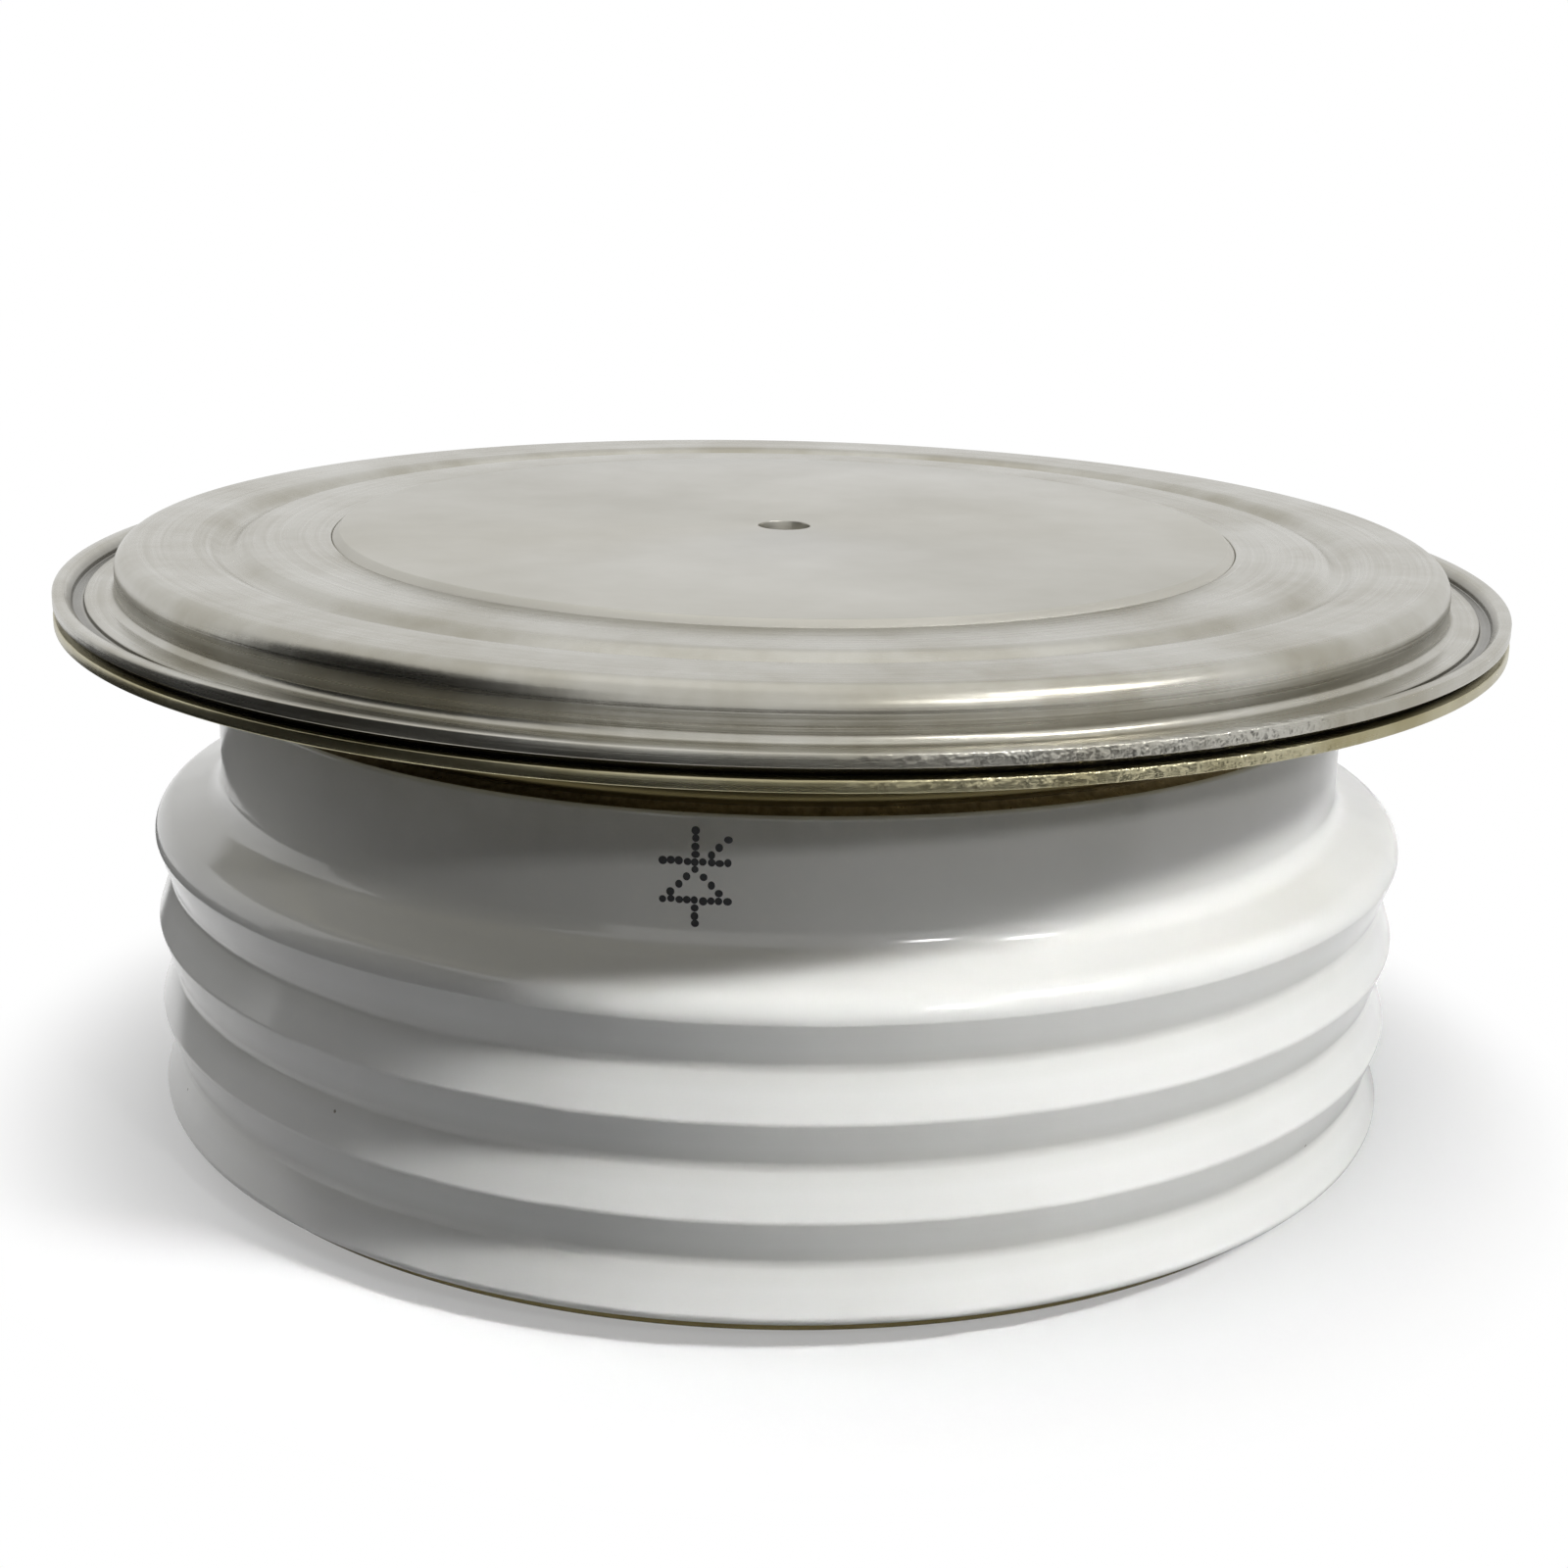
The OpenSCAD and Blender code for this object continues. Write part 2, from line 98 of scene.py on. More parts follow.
ceramic_low, ceramic_high = in_mm(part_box("ceramic_ring"))
cathode_low, cathode_high = in_mm(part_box("cathode_pole"))
ring_low, ring_high = in_mm(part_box("anode_flange"))
tube_low, tube_high = in_mm(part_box("gate_tube"))
flange_high = in_mm(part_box("weld_flange"))[1]
lid_high = in_mm(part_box("lid_flange"))[1]
anode_high = in_mm(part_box("anode_pole"))[1]
bush_high = in_mm(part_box("gate_bush"))[1]
cap_high = in_mm(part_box("gate_cap"))[1]
eyelet_high = in_mm(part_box("gate_eyelet"))[1]
locating_low = in_mm(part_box("locating_ring"))[0]

neck_r = 37.6
bore_r = 33
pole_r = 30
shoulder_r = anode_high.x
rib_r = ceramic_high.x
flange_r = flange_high.x
flange_t = 0.7
lid_t = 0.8
lid_z = flange_high.z
rim_z = lid_z - flange_t
weld_inset = 1
weld_w = 0.9
weld_depth = 0.3
weld_out_r = flange_r - weld_inset
weld_in_r = weld_out_r - weld_w
weld_r = (weld_in_r + weld_out_r) / 2
gate_z = (tube_low.z + tube_high.z) / 2
print("ribs", round(rib_r, 2), "rim", round(flange_r, 2), "gate level", round(gate_z, 2), "mm")

# %% [markdown]
# Nearly every part here is turned, pressed or moulded round one axis, so one tool makes them all. As by
# hand, a tiny plane is merged into a single point, that point is extruded from corner to corner until it
# has drawn half of the section, and Spin sweeps the section round the axis. Merging doubles closes the
# seam and the middle, and only then are the normals turned outwards.

# %% Turning a section
TURN_STEPS = 288
MERGE = 1e-6


def arc(centre, radius, start, end, steps=9):
    """Points along an arc of a section, without its first point. Angles are in degrees."""
    angles = [math.radians(start + (end - start) * i / steps) for i in range(1, steps + 1)]
    return [(centre[0] + radius * math.cos(a), centre[1] + radius * math.sin(a)) for a in angles]


def turn(name, section, steps=TURN_STEPS):
    """Draws a section of (radius, height) points in millimetres and spins it round the Z axis."""
    points = [Vector((radius, 0, height)) * MM for radius, height in section]
    bpy.ops.mesh.primitive_plane_add(size=MM, location=points[0])
    piece = bpy.context.active_object
    piece.name = name
    bpy.ops.object.transform_apply(location=True, rotation=True, scale=True)
    bpy.ops.object.mode_set(mode="EDIT")
    bpy.ops.mesh.select_mode(type="VERT")
    bpy.ops.mesh.select_all(action="SELECT")
    bpy.ops.mesh.merge(type="CENTER")
    for here, there in zip(points, points[1:]):
        bpy.ops.mesh.extrude_vertices_move(TRANSFORM_OT_translate={"value": there - here})
    bpy.ops.mesh.select_all(action="SELECT")
    bpy.ops.mesh.spin(steps=steps, angle=math.tau, center=(0, 0, 0), axis=(0, 0, 1))
    tidy_mesh()
    bpy.ops.object.mode_set(mode="OBJECT")
    return piece


def tidy_mesh():
    """Closes seams and poles, then points all faces outwards. Runs in edit mode."""
    bpy.ops.mesh.select_all(action="SELECT")
    bpy.ops.mesh.remove_doubles(threshold=MERGE)
    bpy.ops.mesh.normals_make_consistent(inside=False)


print("a turned part has", TURN_STEPS, "steps round the axis")

# %% [markdown]
# No real edge is perfectly sharp, and it is the thin line of light along an edge that makes a render look
# like a photograph. A Bevel modifier that only takes the sharp corners rounds them all at once, where
# picking each edge by hand would take a long list. Holes are drilled with a Boolean modifier, whose bit
# is deleted once it has cut.

# %% Rounding and drilling
SHARP = math.radians(30)


def apply_modifier(piece, kind, **settings):
    """Adds a modifier with these settings and applies it."""
    bpy.context.view_layer.objects.active = piece
    modifier = piece.modifiers.new(kind.lower(), kind)
    for name, value in settings.items():
        setattr(modifier, name, value)
    bpy.ops.object.modifier_apply(modifier=modifier.name)


def round_edges(piece, width, segments=3):
    """Rounds all sharp edges, by a width in millimetres."""
    apply_modifier(
        piece, "BEVEL", width=width * MM, segments=segments, limit_method="ANGLE", angle_limit=SHARP,
    )


def drill(piece, radius, start, end):
    """Bores a hole along the gate's axis, from one distance to another, in millimetres."""
    bpy.ops.mesh.primitive_cylinder_add(
        vertices=48, radius=radius * MM, depth=(end - start) * MM,
        location=(0, (start + end) / 2 * MM, gate_z * MM), rotation=(math.pi / 2, 0, 0),
    )
    bit = bpy.context.active_object
    apply_modifier(piece, "BOOLEAN", operation="DIFFERENCE", solver="EXACT", object=bit)
    bpy.data.objects.remove(bit)


print("edges sharper than", round(math.degrees(SHARP)), "degrees are rounded")

# %% [markdown]
# Two more helpers serve all pieces. The first picks faces by their place or direction, as a click in the
# window would. The second takes over a finished piece: it smooths the faces between the sharp edges,
# gives the piece its material and its place in the frame, and hides the solids that it replaces.

# %% Picking and dressing
def pick_faces(piece, wanted):
    """Leaves edit mode on, with only the faces selected that pass the test."""
    bpy.ops.object.select_all(action="DESELECT")
    bpy.context.view_layer.objects.active = piece
    piece.select_set(True)
    bpy.ops.object.mode_set(mode="EDIT")
    bpy.ops.mesh.select_mode(type="FACE")
    bpy.ops.mesh.select_all(action="DESELECT")
    bpy.ops.object.mode_set(mode="OBJECT")
    for face in piece.data.polygons:
        face.select = wanted(face)
    bpy.ops.object.mode_set(mode="EDIT")


def dress(piece, material, slot, *nodes):
    """Smooths a finished piece, gives it its material and puts it in the frame."""
    bpy.ops.object.select_all(action="DESELECT")
    bpy.context.view_layer.objects.active = piece
    piece.select_set(True)
    bpy.ops.object.shade_smooth_by_angle(angle=SHARP)
    piece.data.materials.clear()
    piece.data.materials.append(material)
    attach(piece, "root")
    if nodes:
        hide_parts(*nodes)
    triangles = sum(len(face.vertices) - 2 for face in piece.data.polygons)
    bpy.ops.object.select_all(action="DESELECT")
    print(piece.name, triangles, "triangles")


print("solids waiting for their looks:", len(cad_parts))

# %% [markdown]
# Every finish is a small network of nodes round one Principled shader. A few helpers keep the networks
# short: one turns a colour as it is picked on a screen into the linear values that Blender mixes, one
# adds any node with its settings and its links, one starts a new material with its own shader and Object
# coordinates, and one measures the distance from the axis. Object coordinates are metres in the part's
# frame, so one over a size in metres is the scale of a pattern.

# %% Tools for finishes
# A Mix node's colour sockets share their names with its other sockets, so they go by number.
COLOUR_A, COLOUR_B, COLOUR_OUT = 6, 7, 2


def linear(hex_colour):
    """An sRGB hex colour as linear red, green, blue and alpha."""
    channels = [int(hex_colour[i : i + 2], 16) / 255 for i in (1, 3, 5)]
    return [c / 12.92 if c <= 0.04045 else ((c + 0.055) / 1.055) ** 2.4 for c in channels] + [1]


def per(size):
    """The scale of a pattern whose features are this many millimetres wide."""
    return 1 / (size * MM)


def add(tree, kind, inputs, **settings):
    """Adds a node, sets its options, and links or fills its inputs."""
    node = tree.nodes.new("ShaderNode" + kind)
    for name, value in settings.items():
        setattr(node, name, value)
    for socket, value in inputs.items():
        if isinstance(value, bpy.types.NodeSocket):
            tree.links.new(value, node.inputs[socket])
        else:
            node.inputs[socket].default_value = value
    return node


def start_finish(name, **constants):
    """A new material, its node tree, its shader with constant inputs set, and its Object coordinates."""
    material = bpy.data.materials.new(name)
    material.use_nodes = True
    tree = material.node_tree
    shader = tree.nodes["Principled BSDF"]
    for socket, value in constants.items():
        shader.inputs[socket.replace("_", " ").title().replace("Ior", "IOR")].default_value = value
    return material, tree, shader, add(tree, "TexCoord", {}).outputs["Object"]


def from_axis(tree, place):
    """A point's place as seen from above, and its distance from the Z axis."""
    flat = add(tree, "VectorMath", {0: place, 1: (1, 1, 0)}, operation="MULTIPLY").outputs["Vector"]
    return flat, add(tree, "VectorMath", {0: flat}, operation="LENGTH").outputs["Value"]


print("white is", [round(v, 3) for v in linear("#ffffff")])

# %% [markdown]
# The ring is alumina porcelain, dipped in a clear glaze and fired. Its white isn't perfectly even, and
# evenness is what gives a rendered ceramic away: the body clouds a little from place to place, the hollows
# between the ribs are painted grey, partly as dust and partly as shade, and a few dark specks of kiln dust
# are caught in the glaze.
# Three Mix nodes lay these over each other. The specks are the middles of Voronoi cells, of which only
# some are kept.

# %% The white of the porcelain
GROOVE_DEPTH = 0.9
HOLLOW_FROM = 0.5
RIBBED_H = 18
SPECK_CELL = 4
SPECK_R = 0.14
SPECK_FEW = 0.62

porcelain, tree, shader, place = start_finish("glazed_porcelain")
cloud = add(tree, "TexNoise", {"Vector": place, "Scale": per(11), "Detail": 3})
body = add(
    tree, "Mix", {"Factor": cloud.outputs["Fac"], COLOUR_A: linear("#efefed"), COLOUR_B: linear("#e2e2df")},
    data_type="RGBA",
)
radius = from_axis(tree, place)[1]
# Painted shade, with some dust: the hollows between the ribs are mixed towards grey.
hollow = add(
    tree, "MapRange",
    {
        "Value": radius, "From Min": (rib_r - HOLLOW_FROM) * MM, "From Max": (rib_r - GROOVE_DEPTH) * MM,
        "To Min": 0, "To Max": 0.3,
    },
)
height = add(tree, "SeparateXYZ", {"Vector": place}).outputs["Z"]
below_neck = add(tree, "Math", {0: height, 1: (ceramic_low.z + RIBBED_H) * MM}, operation="LESS_THAN")
hollow_dust_and_shade = add(
    tree, "Math", {0: hollow.outputs["Result"], 1: below_neck.outputs["Value"]}, operation="MULTIPLY",
)
greyed = add(
    tree, "Mix",
    {"Factor": hollow_dust_and_shade.outputs["Value"], COLOUR_A: body.outputs[COLOUR_OUT], COLOUR_B: linear("#c9c8c0")},
    data_type="RGBA",
)
cells = add(tree, "TexVoronoi", {"Vector": place, "Scale": per(SPECK_CELL)})
spots = add(tree, "Math", {0: cells.outputs["Distance"], 1: SPECK_R / SPECK_CELL}, operation="LESS_THAN")
few = add(tree, "Math", {0: cells.outputs["Color"], 1: SPECK_FEW}, operation="GREATER_THAN")
specks = add(tree, "Math", {0: spots.outputs["Value"], 1: few.outputs["Value"]}, operation="MULTIPLY")
speckled = add(
    tree, "Mix",
    {"Factor": specks.outputs["Value"], COLOUR_A: greyed.outputs[COLOUR_OUT], COLOUR_B: linear("#8d8880")},
    data_type="RGBA",
)
tree.links.new(speckled.outputs[COLOUR_OUT], shader.inputs["Base Color"])
print("nodes for the white:", len(tree.nodes))

# %% [markdown]
# The fired glaze is nearly as smooth as glass, so the white shows under clear reflections. Handling dulls
# it a little here and there, which a slow noise in the roughness gives, and the glaze sagged into low
# waves a few millimetres long before it set, so that a lamp's mirror image breaks up into short sparks.

# %% The gloss of the glaze
smear = add(tree, "TexNoise", {"Vector": place, "Scale": per(5), "Detail": 2})
gloss = add(tree, "MapRange", {"Value": smear.outputs["Fac"], "To Min": 0.09, "To Max": 0.17})
tree.links.new(gloss.outputs["Result"], shader.inputs["Roughness"])
waves = add(tree, "TexNoise", {"Vector": place, "Scale": per(7), "Detail": 1})
ripple = add(tree, "Bump", {"Height": waves.outputs["Fac"], "Distance": 0.09 * MM, "Strength": 1})
tree.links.new(ripple.outputs["Normal"], shader.inputs["Normal"])
print("nodes with the gloss:", len(tree.nodes))

# %% [markdown]
# Metal that was turned or pressed round an axis carries fine marks that run round that axis. To draw
# them, the coordinates are bent: the direction from the axis gives a slow change along a mark, and the
# distance from the axis plus the height gives a fast change across it. A direction has no seam, so
# neither has the pattern.

# %% Marks round the axis
def round_the_axis(tree, place, mark_length, spacing):
    """Coordinates for marks of this length, at the rim, and this spacing, both in millimetres."""
    flat, radius = from_axis(tree, place)
    direction = add(tree, "VectorMath", {0: flat}, operation="NORMALIZE").outputs["Vector"]
    height = add(tree, "SeparateXYZ", {"Vector": place}).outputs["Z"]
    across = add(tree, "Math", {0: radius, 1: height}, operation="ADD").outputs["Value"]
    lines = add(tree, "Math", {0: across, 1: per(spacing)}, operation="MULTIPLY").outputs["Value"]
    upward = add(tree, "CombineXYZ", {"Z": lines}).outputs["Vector"]
    turns = flange_r / mark_length
    return add(
        tree, "VectorMath", {0: direction, 1: (turns, turns, 0), 2: upward}, operation="MULTIPLY_ADD",
    ).outputs["Vector"]


print("marks have their full length at radius", round(flange_r, 2), "mm")

# %% [markdown]
# Both rim sheets are pressed from nickel-iron strip and plated with nickel, and so is the gate tube at
# the back. Nickel is a warm grey metal that tarnishes in soft yellowish patches. The groove that the
# welding tool pressed is painted dark as shade. The pieces differ only in their colours and in where
# painted shade darkens them: heat from brazing leaves the lower sheet khaki, and its skirt under the rim
# is painted darker as shade, the upper one is painted dark as shade only in the gap between the two, and
# the tube is painted darker underneath as shade. So one function makes the colour of all.

# %% The colour and painted shade of plated sheet
def sheet_colour(tree, place, bright, tarnish, painted_shade, shade_from, shade_to):
    """Tarnished plating, with painted shade in the welding groove and past two heights, in millimetres."""
    patches = add(tree, "TexNoise", {"Vector": place, "Scale": per(9), "Detail": 4, "Roughness": 0.6})
    spread = add(tree, "MapRange", {"Value": patches.outputs["Fac"], "From Min": 0.38, "From Max": 0.68})
    skin = add(
        tree, "Mix",
        {"Factor": spread.outputs["Result"], COLOUR_A: linear(bright), COLOUR_B: linear(tarnish)},
        data_type="RGBA",
    )
    # Painted shade: past the two heights the colour is mixed towards the shade colour.
    height = add(tree, "SeparateXYZ", {"Vector": place}).outputs["Z"]
    depth = add(
        tree, "MapRange", {"Value": height, "From Min": shade_from * MM, "From Max": shade_to * MM},
        interpolation_type="SMOOTHSTEP",
    )
    shaded = add(
        tree, "Mix",
        {"Factor": depth.outputs["Result"], COLOUR_A: skin.outputs[COLOUR_OUT], COLOUR_B: linear(painted_shade)},
        data_type="RGBA",
    )
    # Painted shade in the welding groove: near its radius the colour is mixed towards a dark grey.
    radius = from_axis(tree, place)[1]
    from_groove = add(tree, "Math", {0: radius, 1: weld_r * MM}, operation="SUBTRACT")
    beside = add(tree, "Math", {0: from_groove.outputs["Value"]}, operation="ABSOLUTE").outputs["Value"]
    groove_shade = add(
        tree, "MapRange",
        {"Value": beside, "From Min": 0.2 * MM, "From Max": 0.65 * MM, "To Min": 0.6, "To Max": 0},
    )
    groove_shaded = add(
        tree, "Mix",
        {
            "Factor": groove_shade.outputs["Result"], COLOUR_A: shaded.outputs[COLOUR_OUT],
            COLOUR_B: linear("#2e2c28"),
        },
        data_type="RGBA",
    )
    return groove_shaded.outputs[COLOUR_OUT]


# The dark ring round this radius is painted shade in the welding groove.
print("dirt lies round radius", round(weld_r, 2), "mm")

# %% [markdown]
# The press leaves shallow dents, and fine marks that run round the rim. Over one stretch, at the front on
# the right, the edge came out of the tool rough, and there it breaks the light into glints. All of this
# is far finer than the sheet is thick, so it is bump and not mesh. The rough stretch grows with the
# distance along one direction from the axis, so it fades by itself towards both ends and towards the
# inside of the rim.

# %% Nickel-plated sheet
ROUGH_TURN = math.radians(24)
ROUGH_REACH = 3.5
ROUGH_GAIN = 16
DENT_GAIN = 1.6


def sheet_relief(tree, place, marks):
    """The surface of pressed sheet: marks, dents, and one rough stretch of the edge."""
    dents = add(tree, "TexNoise", {"Vector": place, "Scale": per(1.6), "Detail": 3})
    pressed = add(
        tree, "Math", {0: dents.outputs["Fac"], 1: DENT_GAIN, 2: marks.outputs["Fac"]},
        operation="MULTIPLY_ADD",
    )
    grit = add(tree, "TexNoise", {"Vector": place, "Scale": per(0.6), "Detail": 2, "Roughness": 0.5})
    rough_side = (math.sin(ROUGH_TURN), -math.cos(ROUGH_TURN), 0)
    towards = add(tree, "VectorMath", {0: place, 1: rough_side}, operation="DOT_PRODUCT").outputs["Value"]
    rough = add(
        tree, "MapRange",
        {
            "Value": towards, "From Min": (flange_r - ROUGH_REACH) * MM, "From Max": flange_r * MM,
            "To Max": ROUGH_GAIN,
        },
    )
    relief = add(
        tree, "Math", {0: grit.outputs["Fac"], 1: rough.outputs["Result"], 2: pressed.outputs["Value"]},
        operation="MULTIPLY_ADD",
    )
    bump = add(tree, "Bump", {"Height": relief.outputs["Value"], "Distance": 0.014 * MM, "Strength": 1})
    return bump.outputs["Normal"]


def nickel_sheet(name, *colours_and_heights):
    """Plated sheet: bright, tarnished and painted-shade colours, and where the painted shade sets in."""
    material, tree, shader, place = start_finish(name, metallic=1)
    tree.links.new(sheet_colour(tree, place, *colours_and_heights), shader.inputs["Base Color"])
    marks = add(tree, "TexNoise", {"Vector": round_the_axis(tree, place, 30, 0.22), "Scale": 1, "Detail": 3})
    tree.links.new(sheet_relief(tree, place, marks), shader.inputs["Normal"])
    dull = add(tree, "MapRange", {"Value": marks.outputs["Fac"], "To Min": 0.16, "To Max": 0.42})
    tree.links.new(dull.outputs["Result"], shader.inputs["Roughness"])
    return material


# The last colour and the two heights of each finish are painted shade: on the lid's underside at the gap
# between the sheets, on the lower sheet's skirt and foot, and on the tube's underside.
lid_nickel = nickel_sheet("lid_nickel", "#b4b2aa", "#9d998c", "#2b2a26", lid_z + 0.5, lid_z + 0.1)
flange_nickel = nickel_sheet("flange_nickel", "#b2ac90", "#978f6e", "#574f35", rim_z + 0.1, rim_z - 1)
tube_nickel = nickel_sheet("tube_nickel", "#b4b2aa", "#9d998c", "#8a867a", gate_z, gate_z - 2)
print("plated finishes:", lid_nickel.name, flange_nickel.name, tube_nickel.name)

# %% [markdown]
# The contact faces are turned flat on a lathe before they are plated, so the plating keeps a satin grain
# of fine rings that pulls the light into a fan. The true grooves are finer than a pixel: anisotropy
# stands for them, and a few coarser rings are drawn as bump. Handling adds faint straight scratches and
# dull finger marks.

# %% Satin nickel on turned copper
SCRATCH_CUT = -0.6

pole_nickel, tree, shader, place = start_finish("turned_nickel", metallic=1, anisotropic=0.55)
round_way = add(tree, "Tangent", {}, direction_type="RADIAL", axis="Z")
tree.links.new(round_way.outputs["Tangent"], shader.inputs["Tangent"])
rings = add(tree, "TexNoise", {"Vector": round_the_axis(tree, place, 300, 0.16), "Scale": 1, "Detail": 4})
handling = add(tree, "TexNoise", {"Vector": place, "Scale": per(13), "Detail": 4, "Roughness": 0.6})
colour = add(
    tree, "Mix",
    {"Factor": handling.outputs["Fac"], COLOUR_A: linear("#bdbbb3"), COLOUR_B: linear("#a9a69c")},
    data_type="RGBA",
)
tree.links.new(colour.outputs[COLOUR_OUT], shader.inputs["Base Color"])
turned_way = add(
    tree, "Mapping", {"Vector": place, "Rotation": (0, 0, 0.7), "Scale": (per(9), per(0.12), per(9))},
)
scratches = add(tree, "TexNoise", {"Vector": turned_way.outputs["Vector"], "Scale": 1, "Detail": 2})
cut = add(tree, "MapRange", {"Value": scratches.outputs["Fac"], "From Min": 0.68, "From Max": 0.76})
relief = add(
    tree, "Math", {0: cut.outputs["Result"], 1: SCRATCH_CUT, 2: rings.outputs["Fac"]},
    operation="MULTIPLY_ADD",
)
bump = add(tree, "Bump", {"Height": relief.outputs["Value"], "Distance": 0.006 * MM, "Strength": 1})
tree.links.new(bump.outputs["Normal"], shader.inputs["Normal"])
dull = add(tree, "MapRange", {"Value": handling.outputs["Fac"], "To Min": 0.24, "To Max": 0.46})
tree.links.new(dull.outputs["Result"], shader.inputs["Roughness"])
print("pole nodes:", len(tree.nodes))

# %% [markdown]
# Where metal meets ceramic it is brazed with a silver and copper alloy. It freezes with a grainy,
# slightly pink skin that wets one spot more than the next, so one fine grain drives its colour, its gloss
# and its lumps. The mark on the neck is printed with black ink from a jet, which dries a little unevenly.

# %% Braze and printing ink
braze, tree, shader, place = start_finish("silver_copper_braze", metallic=1)
grain = add(tree, "TexNoise", {"Vector": place, "Scale": per(0.7), "Detail": 4, "Roughness": 0.65})
wetting = add(
    tree, "Mix", {"Factor": grain.outputs["Fac"], COLOUR_A: linear("#4a4030"), COLOUR_B: linear("#d8c8ad")},
    data_type="RGBA",
)
tree.links.new(wetting.outputs[COLOUR_OUT], shader.inputs["Base Color"])
frosted = add(tree, "MapRange", {"Value": grain.outputs["Fac"], "To Min": 0.5, "To Max": 0.15})
tree.links.new(frosted.outputs["Result"], shader.inputs["Roughness"])
lumps = add(tree, "Bump", {"Height": grain.outputs["Fac"], "Distance": 0.08 * MM, "Strength": 1})
tree.links.new(lumps.outputs["Normal"], shader.inputs["Normal"])

ink, tree, shader, place = start_finish("printing_ink", roughness=0.5)
soak = add(tree, "TexNoise", {"Vector": place, "Scale": per(0.25), "Detail": 2})
black = add(
    tree, "Mix", {"Factor": soak.outputs["Fac"], COLOUR_A: linear("#0d0d0e"), COLOUR_B: linear("#242428")},
    data_type="RGBA",
)
tree.links.new(black.outputs[COLOUR_OUT], shader.inputs["Base Color"])
print("finishes so far:", len(bpy.data.materials))

# %% [markdown]
# The ceramic ring is the heart of the look. Four ribs lengthen the path that a spark would have to creep
# along its surface. Their section is a zigzag with straight flanks, tight round crests and softer round
# grooves. A stack of cylinders would need a bevel at every corner, so the arcs are drawn instead, and the
# lean of the flanks follows from the pitch, the depth and the two radii, because each flank touches both
# arcs.

# %% The section of the ribs
RIBS = 4
RIB_PITCH = 5.8
CREST_ROUND = 0.5
GROOVE_ROUND = 1.2
BASE_ROUND = 0.5

base_z = ceramic_low.z
rounds = CREST_ROUND + GROOVE_ROUND
half_pitch = RIB_PITCH / 2
flank = math.asin(rounds / math.hypot(half_pitch, rounds - GROOVE_DEPTH))
flank = math.degrees(flank - math.atan2(rounds - GROOVE_DEPTH, half_pitch))
crest_r = rib_r - CREST_ROUND
groove_r = rib_r - GROOVE_DEPTH + GROOVE_ROUND

crest_z = base_z + BASE_ROUND
section = [(bore_r, base_z), (rib_r - BASE_ROUND, base_z)]
section += arc((rib_r - BASE_ROUND, crest_z), BASE_ROUND, -90, 0)
for _ in range(RIBS - 1):
    section += arc((crest_r, crest_z), CREST_ROUND, 0, flank, 6)
    section += arc((groove_r, crest_z + half_pitch), GROOVE_ROUND, 180 + flank, 180 - flank)
    crest_z += RIB_PITCH
    section += arc((crest_r, crest_z), CREST_ROUND, -flank, 0, 6)
print("flanks lean by", round(flank, 1), "degrees")

# %% [markdown]
# Above the top rib the ring leans in over a soft shoulder and rises as a plain neck in the shade of the
# rim. Rounded corners join them, because glaze never leaves a sharp one. The whole section turned once
# round gives the ring in one mesh, and then the hole for the gate tube is drilled through the neck.

# %% The shoulder, the neck and the finished ring
SHOULDER_LEAN = 72
SHOULDER_ROUND = 1.6
NECK_FILLET = 1.6
NECK_ROUND = 0.3
CERAMIC_EDGE = 0.2

ceramic_top = ceramic_high.z
lean = math.radians(SHOULDER_LEAN)
bends = SHOULDER_ROUND + NECK_FILLET
straight = rib_r - neck_r - bends * (1 - math.cos(lean))
neck_z = crest_z + bends * math.sin(lean) + straight / math.tan(lean)
section += arc((rib_r - SHOULDER_ROUND, crest_z), SHOULDER_ROUND, 0, SHOULDER_LEAN)
section += [(neck_r + NECK_FILLET * (1 - math.cos(lean)), neck_z - NECK_FILLET * math.sin(lean))]
section += arc((neck_r + NECK_FILLET, neck_z), NECK_FILLET, 180 + SHOULDER_LEAN, 180)
section += [(neck_r, ceramic_top - NECK_ROUND)]
section += arc((neck_r - NECK_ROUND, ceramic_top - NECK_ROUND), NECK_ROUND, 0, 90)
section += [(bore_r, ceramic_top), (bore_r, base_z)]

ceramic = turn("ribbed_ceramic", section)
round_edges(ceramic, CERAMIC_EDGE)
tube_r = 1.25
# The bit starts inside the bore and ends beyond the neck, so that it cuts clean through the wall.
drill(ceramic, tube_r, bore_r - 2, rib_r)
dress(ceramic, porcelain, "glazed_ceramic", "ceramic_ring")
print("neck from", round(neck_z, 2), "to", round(ceramic_top, 2), "mm")

# %% [markdown]
# The lower rim sheet is a flanged cup: a flat rim, a bend, a short skirt and a foot that is brazed on the
# top of the ceramic. A pressed sheet has the same thickness all over, so its middle line is spun first,
# and a Solidify modifier gives it both faces. The ring that the welding tool squeezed is picked by its
# radius and pressed in.

# %% The lower rim sheet
def press_groove(piece, facing):
    """Presses the welding groove into the flat ring that faces up (1) or down (-1)."""
    margin = 0.05

    def in_groove(face):
        distance = math.hypot(face.center.x, face.center.y) / MM
        return weld_in_r - margin < distance < weld_out_r + margin and face.normal.z * facing > 0.9

    pick_faces(piece, in_groove)
    bpy.ops.mesh.extrude_region_move(TRANSFORM_OT_translate={"value": (0, 0, -facing * weld_depth * MM)})
    bpy.ops.object.mode_set(mode="OBJECT")


SKIRT_BEND = 1.8
FOOT_BEND = 0.9
SKIRT_INSET = 0.4
FOOT_INSET = 0.8
SHEET_EDGE = 0.1

